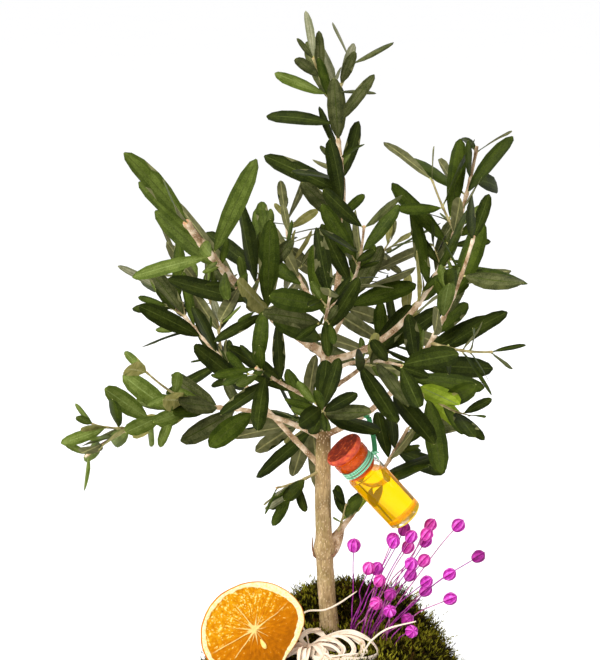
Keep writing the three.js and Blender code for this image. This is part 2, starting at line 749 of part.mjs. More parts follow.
// Trunk: root flare, swollen node at the side shoot, and a drawn-in neck at the fork
const trunkCurve = byName.trunk.curve;
const trunkRadius = (t) => {
  const height = t * trunkCurve.length;
  const node = ((t - trunk.nodeShare) * trunkCurve.length) / trunk.nodeHeight;
  const below = Math.max(0, trunk.neckHeight - (1 - t) * trunkCurve.length) / trunk.neckHeight;
  return byName.trunk.radiusAt(t)
    + trunk.flare * Math.exp(-Math.max(height, 0) / trunk.flareHeight)
    + trunk.nodeSwell * Math.exp(-node * node)
    - trunk.neck * below * below;
};
const sunkShare = (trunk.footZ - trunk.groundZ) / trunkCurve.length;
const woodColor = '#a58c69';
const twigColor = '#b39b80';
const trunkBody = woodSolid(byName.trunk, sunkShare, 1, trunk.sides, trunk.rings, trunkRadius);
const level = new THREE.BoxGeometry(60, 60, 20).translate(0, 0, trunk.footZ - 10);
addPart('trunk', toGeometry(trunkBody.subtract(toSolid(level))), woodColor, 0.85);

// Leader above the fork
const leader = byName.leader;
const leaderBody = woodSolid(leader, gap / leader.curve.length, 1, 8, 5);
addPart('leader', toGeometry(leaderBody), woodColor, 0.85);

// Boughs: the bare inner part of each main shoot
for (const shoot of shoots) {
  if (!shoot.mass || !shoot.bough) continue;
  const start = shoot.at === 1 ? gap / shoot.curve.length : 0;
  const body = woodSolid(shoot, start, shoot.bare, 6, 4);
  addPart(`bough_${shoot.name}`, toGeometry(body), twigColor, 0.8);
}

// Foliage masses: stem, side twigs and leaves fused into one body each
let leafCount = 0;
for (const mass of massNames) {
  const bodies = [];
  let stalk = null;
  for (const shoot of shoots) {
    if (shoot.mass !== mass) continue;
    const own = byName[shoot.parent].mass === mass;
    const from = shoot.bough ? shoot.bare + gap / shoot.curve.length : 0;
    let stem = toSolid(limb(shoot.curve, from, 1, shoot.radiusAt, own ? 3 : 4, own ? 3 : 4));
    if (!own && !shoot.bough) {
      const parent = woodBodies.find((wood) => wood.name === shoot.parent);
      stem = stem.subtract(parent.fat);
    }
    bodies.push(stem);
    shoot.pairs.forEach((seed, k) => {
      for (const leaf of seed ? leafPair(shoot, k, seed) : []) {
        if (!leafFits(leaf, mass)) continue;
        bodies.push(leafSolid(leaf));
        leafCount += 1;
      }
    });
    if (!stalk) stalk = shoot;
  }
  const body = wasm.Manifold.union(bodies);
  addPart(`foliage_${mass}`, toGeometry(body), stalk.color || '#3d5527', 0.55);
}
bonsai.userData.leaves = leafCount;

// Bottle, built upright on its foot and then laid along its hanging axis
const bottleAxis = bottle.top.clone().sub(bottle.foot).normalize();
const bottleTurn = new THREE.Quaternion().setFromUnitVectors(up, bottleAxis);
function hang(geometry) {
  return geometry.applyQuaternion(bottleTurn).translate(bottle.foot.x, bottle.foot.y, bottle.foot.z);
}
const neckFoot = bottle.bodyLength + bottle.shoulder;
const lipFoot = neckFoot + bottle.neckLength;
const lipTop = lipFoot + bottle.lipHeight;
const boreRadius = bottle.neckRadius - bottle.wall;
const cavityRadius = bottle.bodyRadius - bottle.wall;
const glassProfile = [
  [0, 0],
  [bottle.bodyRadius - 1, 0],
  [bottle.bodyRadius, 1],
  [bottle.bodyRadius, bottle.bodyLength],
  [bottle.neckRadius, neckFoot],
  [bottle.neckRadius, lipFoot],
  [bottle.lipRadius, lipFoot + 1.2],
  [bottle.lipRadius, lipTop - 1],
  [bottle.lipRadius - 1, lipTop],
  [boreRadius, lipTop],
  [boreRadius, neckFoot - 0.6],
  [cavityRadius, bottle.bodyLength - 0.6],
  [cavityRadius, bottle.base + 1],
  [cavityRadius - 1, bottle.base],
  [0, bottle.base],
];
addPart('bottle_glass', toGeometry(toSolid(hang(turned(glassProfile, bottle.sides)))), '#e8f0ea', 0.05, 0, {
  transparent: true,
  opacity: 0.35,
});

// Oil, level in the tilted bottle
const oilRadius = cavityRadius - gap;
const oilProfile = [
  [0, bottle.base + gap],
  [oilRadius - 1, bottle.base + gap],
  [oilRadius, bottle.base + 1 + gap],
  [oilRadius, bottle.bodyLength - 1],
  [0, bottle.bodyLength - 1],
];
const air = new THREE.BoxGeometry(80, 80, 40).translate(bottle.foot.x, bottle.foot.y, bottle.oilLevel + 20);
const oilBody = toSolid(hang(turned(oilProfile, bottle.sides))).subtract(toSolid(air));
addPart('bottle_oil', toGeometry(oilBody), '#f2c200', 0.15);

// Stopper: plug through the neck and a wide disc on the lip
const plugRadius = boreRadius - gap;
const capFoot = lipTop + gap;
const capTop = capFoot + bottle.capHeight;
const stopperProfile = [
  [0, neckFoot - bottle.plugDrop],
  [plugRadius, neckFoot - bottle.plugDrop],
  [plugRadius, capFoot],
  [bottle.capRadius - 0.6, capFoot],
  [bottle.capRadius, capFoot + 0.6],
  [bottle.capRadius, capTop - 0.8],
  [bottle.capRadius - 0.8, capTop],
  [0, capTop],
];
addPart('bottle_stopper', toGeometry(toSolid(hang(turned(stopperProfile, bottle.sides)))), '#c2482a', 0.6);

// Thread: a turn round the neck, one loop over the bough and the strand between them
const tieShoot = byName.right_low;
const tiePoint = tieShoot.curve.point(thread.tieShare);
const tieHeading = tieShoot.curve.tangent(thread.tieShare);
function ring(centre, heading, radius) {
  const turn = new THREE.Quaternion().setFromUnitVectors(up, heading);
  const torus = new THREE.TorusGeometry(radius, thread.radius, thread.sides, thread.turns);
  return toSolid(torus.applyQuaternion(turn).translate(centre.x, centre.y, centre.z));
}
const neckRing = bottle.neckRadius + gap + thread.radius;
const boughRing = tieShoot.radiusAt(thread.tieShare) + gap + thread.radius + 0.2;
const neckMiddle = bottle.foot.clone().addScaledVector(bottleAxis, neckFoot + bottle.neckLength / 2);
const outward = new THREE.Vector3(bottleAxis.z, 0, -bottleAxis.x).normalize();
const strandFoot = neckMiddle.clone().addScaledVector(outward, neckRing);
const strandBend = neckMiddle.clone().addScaledVector(outward, bottle.capRadius + gap + thread.radius);
const toStrand = strandBend.clone().sub(tiePoint);
const strandTop = tiePoint.clone().add(toStrand.clone().projectOnPlane(tieHeading).setLength(boughRing));
const still = new THREE.Vector3();
const strand = bowed(strandBend, strandTop.clone().sub(strandBend), still);
const lead = bowed(strandFoot, strandBend.clone().sub(strandFoot).multiplyScalar(1.2), still);
const threadBody = wasm.Manifold.union([
  ring(neckMiddle, bottleAxis, neckRing),
  ring(tiePoint, tieHeading, boughRing),
  toSolid(limb(lead, 0, 1, () => thread.radius, thread.sides, 1)),
  toSolid(limb(strand, 0, 1, () => thread.radius, thread.sides, 5)),
]);
addPart('thread', toGeometry(threadBody), '#6cc29a', 0.8);

// Orange slice: an uneven disc facing the viewer, leaning back
function rimRadius(angle) {
  const turn = (THREE.MathUtils.radToDeg(angle) + 360) % 360;
  const rim = slice.outline;
  const first = rim[0];
  const last = rim[rim.length - 1];
  const around = [[last[0] - 360, last[1]], ...rim, [first[0] + 360, first[1]]];
  const after = around.findIndex((spot) => spot[0] > turn);
  const [fromAngle, fromRadius] = around[after - 1];
  const [toAngle, toRadius] = around[after];
  return THREE.MathUtils.mapLinear(turn, fromAngle, toAngle, fromRadius, toRadius);
}

function sliceBody(extra) {
  const round = slice.radius + extra;
  const half = slice.thickness / 2 + extra;
  const profile = [[0, -half], [round - slice.edge, -half], [round, -half + slice.edge]];
  profile.push([round, half - slice.edge], [round - slice.edge, half], [0, half]);
  const disc = reshape(turned(profile, slice.sides), (point) => {
    const scale = rimRadius(Math.atan2(point.y, point.x)) / slice.radius;
    return point.clone().multiply(new THREE.Vector3(scale, scale, 1));
  });
  disc.rotateX(THREE.MathUtils.degToRad(90 - slice.lean));
  disc.rotateZ(THREE.MathUtils.degToRad(slice.turn));
  return toSolid(disc.translate(slice.centre.x, slice.centre.y, slice.centre.z));
}
addPart('orange_slice', toGeometry(sliceBody(0)), '#eb9a1c', 0.6);

// Raffia: ribbon loops from one knot, lying over the moss, with two loose ends
function ribbon(points, pieces) {
  const path = new THREE.CatmullRomCurve3(points);
  const tube = new THREE.CylinderGeometry(1, 1, 1, 4, pieces);
  return toSolid(reshape(tube, (point) => {
    const share = point.y + 0.5;
    const { side, rise } = crossFrame(path.getTangent(share), up);
    return path.getPoint(share)
      .addScaledVector(side, point.x * raffia.width / 2)
      .addScaledVector(rise, point.z * raffia.thick / 2);
  }));
}
const knot = new THREE.Vector3(...raffia.knot, mossHeight(...raffia.knot) + raffia.lift);
const knotBody = new THREE.SphereGeometry(1, 8, 4).rotateX(Math.PI / 2).scale(...raffia.size);
const raffiaBodies = [toSolid(knotBody.translate(knot.x, knot.y, knot.z))];
for (const loop of raffiaLoops) {
  const places = loop.map((point) => new THREE.Vector3(...point));
  raffiaBodies.push(ribbon([knot.clone(), ...places, knot.clone()], raffia.pieces));
}
for (const end of raffiaEnds) {
  const places = end.map((point) => new THREE.Vector3(...point));
  raffiaBodies.push(ribbon([knot.clone(), ...places], raffia.pieces));
}
const raffiaBody = wasm.Manifold.union(raffiaBodies).subtract(mossSeat);
addPart('raffia', toGeometry(raffiaBody), '#e6d5b4', 0.85);

// Flax: thin stems fanning from their feet on one low bundle, each with a round pod
const bundle = new THREE.SphereGeometry(1, 10, 4).rotateX(Math.PI / 2).scale(...flax.bundle);
const [bundleX, bundleY] = flax.bundleAt;
const bundleZ = mossHeight(bundleX, bundleY) + flax.footLift;
const flaxBodies = [toSolid(bundle.translate(bundleX, bundleY, bundleZ))];
for (const spray of flaxSprays) {
  const [x, y] = spray.foot;
  const foot = new THREE.Vector3(x, y, bundleZ);
  for (const offset of spray.pods) {
    const reach = new THREE.Vector3(...offset);
    const out = new THREE.Vector3(reach.x, reach.y, 0).multiplyScalar(-flax.bow);
    const stem = bowed(foot, reach, out);
    flaxBodies.push(toSolid(limb(stem, 0, 0.97, () => flax.stem, 3, 2)));
    const pod = new THREE.SphereGeometry(flax.podRadius, 6, 3).rotateX(Math.PI / 2).scale(1, 1, flax.podTall);
    const turn = new THREE.Quaternion().setFromUnitVectors(up, stem.tangent(1));
    const centre = stem.point(1);
    flaxBodies.push(toSolid(pod.applyQuaternion(turn).translate(centre.x, centre.y, centre.z)));
  }
}
addPart('flax', toGeometry(wasm.Manifold.union(flaxBodies).subtract(mossSeat)), '#b23ab0', 0.7);

export default bonsai;
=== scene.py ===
# Olive bonsai: a small olive tree in a low clay pot, dressed as a gift.
# Sizes in the settings are millimetres; meshes are made in metres.
import json
import math

import bmesh
import bpy
import numpy as np
from mathutils import Matrix, Vector, noise

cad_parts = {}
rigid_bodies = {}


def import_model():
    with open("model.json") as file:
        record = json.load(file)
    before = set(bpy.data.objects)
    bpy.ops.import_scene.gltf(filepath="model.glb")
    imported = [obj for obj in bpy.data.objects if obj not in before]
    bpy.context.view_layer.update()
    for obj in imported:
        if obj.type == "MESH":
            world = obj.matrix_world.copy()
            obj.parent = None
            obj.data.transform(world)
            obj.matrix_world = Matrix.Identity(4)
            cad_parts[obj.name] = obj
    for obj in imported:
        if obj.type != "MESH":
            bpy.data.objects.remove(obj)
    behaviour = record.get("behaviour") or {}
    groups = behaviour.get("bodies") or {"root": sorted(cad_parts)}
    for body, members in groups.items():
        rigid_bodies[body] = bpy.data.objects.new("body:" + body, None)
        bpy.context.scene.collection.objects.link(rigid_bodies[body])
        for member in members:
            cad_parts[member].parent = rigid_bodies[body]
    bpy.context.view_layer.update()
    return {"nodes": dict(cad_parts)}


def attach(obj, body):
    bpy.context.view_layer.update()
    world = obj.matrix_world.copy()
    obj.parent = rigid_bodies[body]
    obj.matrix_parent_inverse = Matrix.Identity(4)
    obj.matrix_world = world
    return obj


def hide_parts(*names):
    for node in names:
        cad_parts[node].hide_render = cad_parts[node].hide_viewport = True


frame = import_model()
mm = 0.001
up = Vector((0, 0, 1))


def rgb(red, green, blue):
    # display colour, 0 to 255, as a linear shader colour
    parts = [value / 255 for value in (red, green, blue)]
    return tuple(p / 12.92 if p < 0.04045 else ((p + 0.055) / 1.055) ** 2.4 for p in parts) + (1.0,)


class Wire:
    # one socket of a material, so that shader maths reads as plain sums
    def __init__(self, tree, socket=None):
        self.tree = tree
        self.socket = socket

    def join(self, value, target):
        if isinstance(value, Wire):
            self.tree.links.new(value.socket, target)
        else:
            target.default_value = value

    def node(self, kind, settings=None, sockets=None, out=0):
        made = self.tree.nodes.new("ShaderNode" + kind)
        for name, value in (settings or {}).items():
            if name == "stops":
                stops = made.color_ramp.elements
                stops[0].position, stops[0].color = value[0]
                stops[1].position, stops[1].color = value[-1]
                for place, colour in value[1:-1]:
                    stops.new(place).color = colour
            else:
                setattr(made, name, value)
        for name, value in (sockets or {}).items():
            self.join(value, made.inputs[name])
        return Wire(self.tree, made.outputs[out])

    def sums(self, operation, first, second):
        return self.node("Math", {"operation": operation}, {0: first, 1: second})

    def __add__(self, other):
        return self.sums("ADD", self, other)

    def __radd__(self, other):
        return self.sums("ADD", other, self)

    def __sub__(self, other):
        return self.sums("SUBTRACT", self, other)

    def __rsub__(self, other):
        return self.sums("SUBTRACT", other, self)

    def __mul__(self, other):
        return self.sums("MULTIPLY", self, other)

    def __rmul__(self, other):
        return self.sums("MULTIPLY", other, self)


def cloud(place, scale, detail=3.0):
    return place.node("TexNoise", None,
                      {"Vector": place, "Scale": scale, "Detail": detail, "Roughness": 0.55})


def cells(place, scale, feature="F1"):
    return place.node("TexVoronoi", {"feature": feature}, {"Vector": place, "Scale": scale})


def stretched(place, scale):
    return place.node("Mapping", None, {"Vector": place, "Scale": scale})


def ramp(value, *stops):
    return value.node("ValToRGB", {"stops": stops}, {"Fac": value})


def step(value, low, high):
    # 0 below low, 1 above high
    return value.node("MapRange", {"interpolation_type": "SMOOTHSTEP"},
                      {"Value": value, "From Min": low, "From Max": high})


def blendColours(factor, first, second):
    return factor.node("Mix", {"data_type": "RGBA"}, {0: factor, 6: first, 7: second}, out=2)


def relief(height, strength, depth):
    return height.node("Bump", None,
                       {"Strength": strength, "Distance": depth * mm, "Height": height})


def makeMaterial(name, build):
    material = bpy.data.materials.new(name)
    material.use_nodes = True
    wire = Wire(material.node_tree)
    shader = material.node_tree.nodes["Principled BSDF"]
    place = wire.node("TexCoord", out="Object")
    for socket, value in build(place).items():
        wire.join(value, shader.inputs[socket])
    return material


def toPiece(name, source, materials, nodes):
    # a finished bmesh in millimetres, or a finished mesh in metres, as a piece on the frame
    mesh = source
    if isinstance(source, bmesh.types.BMesh):
        bmesh.ops.scale(source, vec=(mm, mm, mm), verts=source.verts)
        mesh = bpy.data.meshes.new(name)
        source.to_mesh(mesh)
        source.free()
    for material in materials:
        mesh.materials.append(material)
    piece = bpy.data.objects.new(name, mesh)
    bpy.context.scene.collection.objects.link(piece)
    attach(piece, "root")
    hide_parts(*nodes)
    mesh.calc_loop_triangles()
    print("made", name, len(mesh.loop_triangles), "triangles")


def arrayMesh(name, points, quads, kinds, smooth):
    # many small things as one mesh from arrays, all quads
    mesh = bpy.data.meshes.new(name)
    mesh.vertices.add(len(points))
    mesh.vertices.foreach_set("co", (points * mm).astype(np.float32).ravel())
    mesh.loops.add(quads.size)
    mesh.loops.foreach_set("vertex_index", quads.astype(np.int32).ravel())
    mesh.polygons.add(len(quads))
    mesh.polygons.foreach_set("loop_start", np.arange(0, quads.size, 4, dtype=np.int32))
    mesh.polygons.foreach_set("material_index", kinds.astype(np.int32))
    mesh.polygons.foreach_set("use_smooth", np.full(len(quads), smooth))
    mesh.update(calc_edges=True)
    return mesh


def unit(vector):
    return vector / np.linalg.norm(vector)


def units(rows):
    return rows / np.linalg.norm(rows, axis=1)[:, None]


def smoothPath(points, count):
    # even points on a smooth line through the given ones
    given = np.array(points, float)
    padded = np.vstack([2 * given[0] - given[1], given, 2 * given[-1] - given[-2]])
    shares = np.linspace(0, len(given) - 1, count)
    spans = np.minimum(shares.astype(int), len(given) - 2)
    t = (shares - spans)[:, None]
    a, b, c, d = (padded[spans + i] for i in range(4))
    square = 2 * a - 5 * b + 4 * c - d
    cube = 3 * b - a - 3 * c + d
    return 0.5 * (2 * b + (c - a) * t + square * t ** 2 + cube * t ** 3)


def aslant(heading):
    # an axis well off a heading: y for a steep one, else z
    return (0, 1, 0) if abs(heading[2]) > 0.85 else (0, 0, 1)


def carriedFrames(path):
    # two directions square to a path, carried along it without twist
    heading = units(np.gradient(path, axis=0))
    first = np.cross(heading[0], aslant(heading[0]))
    sides = []
    for direction in heading:
        first = unit(first - direction * (first @ direction))
        sides.append(first)
    sides = np.array(sides)
    return heading, sides, np.cross(sides, heading)


axisGap = 0.03


def mapRound(bm, name, upAt):
    # a map that runs round the upright axis one way, and by upAt the other
    layer = bm.loops.layers.uv.new(name)
    for face in bm.faces:
        middle = face.calc_center_median()
        about = math.atan2(middle.y, middle.x)
        for loop in face.loops:
            at = loop.vert.co
            angle = about
            if math.hypot(at.x, at.y) > axisGap:
                angle += math.remainder(math.atan2(at.y, at.x) - about, 2 * math.pi)
            loop[layer].uv = (angle / (2 * math.pi), upAt(at))


def tube(path, sectionAt, around, frames=None, borders=False):
    # rod along a path; sectionAt takes a ring number and an angle and gives a radius or two
    # offsets; borders keeps the two side edges of a flat band sharp
    rings = len(path) - 1
    heading, side, rise = frames or carriedFrames(path)
    bm = bmesh.new()
    bmesh.ops.create_cone(bm, cap_ends=True, segments=around, radius1=1, radius2=1, depth=1)
    upright = [edge for edge in bm.edges if abs(edge.verts[0].co.z - edge.verts[1].co.z) > 0.5]
    bmesh.ops.subdivide_edges(bm, edges=upright, cuts=rings - 1)
    mapRound(bm, "strip", lambda at: at.z + 0.5)
    if borders:
        for edge in bm.edges:
            first, second = (vert.co for vert in edge.verts)
            edge.smooth = not (abs(first.y) < 0.01 and abs(second.y) < 0.01)
    for vert in bm.verts:
        i = round((vert.co.z + 0.5) * rings)
        angle = math.atan2(vert.co.y, vert.co.x)
        section = sectionAt(i, angle)
        if not isinstance(section, tuple):
            section = section * math.cos(angle), section * math.sin(angle)
        vert.co = Vector(path[i] + side[i] * section[0] + rise[i] * section[1])
    for face in bm.faces:
        face.smooth = len(face.verts) == 4
    bmesh.ops.recalc_face_normals(bm, faces=bm.faces)
    return bm


weldGap = 1e-4
shortest = 1e-3
sharpAngle = 0.4


def spun(profile, steps, rounding=0.0):
    # turned shape from a half section, with its sharp rings rounded off
    bm = bmesh.new()
    corners = [bm.verts.new((r, 0, z)) for r, z in profile]
    lines = [bm.edges.new(pair) for pair in zip(corners, corners[1:])]
    bmesh.ops.spin(bm, geom=corners + lines, cent=(0, 0, 0), axis=(0, 0, 1), angle=2 * math.pi,
                   steps=steps, use_merge=True)
    bmesh.ops.remove_doubles(bm, verts=bm.verts, dist=weldGap)
    bmesh.ops.recalc_face_normals(bm, faces=bm.faces)
    if rounding:
        sharp = [edge for edge in bm.edges
                 if edge.is_manifold and edge.calc_face_angle() > sharpAngle
                 and edge.calc_length() > shortest
                 and abs(edge.verts[0].co.z - edge.verts[1].co.z) < weldGap]
        bmesh.ops.bevel(bm, geom=sharp, offset=rounding, segments=3, profile=0.5, affect="EDGES",
                        material=-1)
    for face in bm.faces:
        face.smooth = True
    return bm


def addTo(whole, part, kind=None):
    # joins a part into a larger piece, with its own material numbers or one for all of it
    if kind is not None:
        for face in part.faces:
            face.material_index = kind
    spare = bpy.data.meshes.new("spare")
    part.to_mesh(spare)
    part.free()
    whole.from_mesh(spare)
    bpy.data.meshes.remove(spare)


def laidAlong(bm, foot, top):
    # turns an upright shape so that its axis runs from foot to top
    axis = Vector(top) - Vector(foot)
    turn = up.rotation_difference(axis).to_matrix().to_4x4()
    bmesh.ops.transform(bm, matrix=Matrix.Translation(foot) @ turn, verts=bm.verts)


# Camera, soft light and pale floor
cameraSet = {"place": (-17.4, -1249.8, 490.2), "pitch": 80.0, "lens": 122.26, "sensor": 36.0,
             "near": 0.05}
camera = bpy.data.objects.new("camera", bpy.data.cameras.new("camera"))
camera.location = Vector(cameraSet["place"]) * mm
camera.rotation_euler = (math.radians(cameraSet["pitch"]), 0, 0)
camera.data.lens = cameraSet["lens"]
camera.data.sensor_width = cameraSet["sensor"]
camera.data.clip_start = cameraSet["near"]
bpy.context.scene.collection.objects.link(camera)
bpy.context.scene.camera = camera
bpy.context.scene.view_settings.view_transform = "Standard"

lightSet = {
    "sky": 0.55,
    "lamps": [
        {"name": "sky_light", "kind": "SUN", "at": (-0.35, -0.34, 0.95), "size": 0.7, "power": 1.9},
        {"name": "key_light", "kind": "AREA", "at": (-0.9, -1.3, 1.2), "size": 1.1, "power": 22},
        {"name": "side_light", "kind": "AREA", "at": (1.4, -0.6, 0.9), "size": 0.9, "power": 5},
        {"name": "rear_light", "kind": "AREA", "at": (0.2, 1.4, 1.2), "size": 1.2, "power": 6},
    ],
    "aim": (0, 0, 0.25),
    "floor": rgb(255, 255, 255),
    "floorCloud": rgb(253, 253, 254),
    "floorSize": 60,
}
world = bpy.data.worlds.new("studio")
world.use_nodes = True
sky = world.node_tree.nodes["Background"].inputs
sky["Color"].default_value = (1, 1, 1, 1)
sky["Strength"].default_value = lightSet["sky"]
bpy.context.scene.world = world
for entry in lightSet["lamps"]:
    lamp = bpy.data.lights.new(entry["name"], entry["kind"])
    lamp.energy = entry["power"]
    setattr(lamp, "angle" if entry["kind"] == "SUN" else "size", entry["size"])
    holder = bpy.data.objects.new(entry["name"], lamp)
    holder.location = entry["at"]
    aim = Vector(lightSet["aim"]) - Vector(entry["at"])
    holder.rotation_euler = aim.to_track_quat("-Z", "Y").to_euler()
    bpy.context.scene.collection.objects.link(holder)

floorMesh = bmesh.new()
bmesh.ops.create_grid(floorMesh, x_segments=2, y_segments=2, size=lightSet["floorSize"])
floorData = bpy.data.meshes.new("floor")
floorMesh.to_mesh(floorData)
floorMesh.free()
floor = bpy.data.objects.new("floor", floorData)
floorData.materials.append(makeMaterial("pale_floor", lambda place: {
    "Base Color": blendColours(cloud(place, 3), lightSet["floor"], lightSet["floorCloud"]),
    "Roughness": 0.8,
}))
bpy.context.scene.collection.objects.link(floor)
print("studio ready")


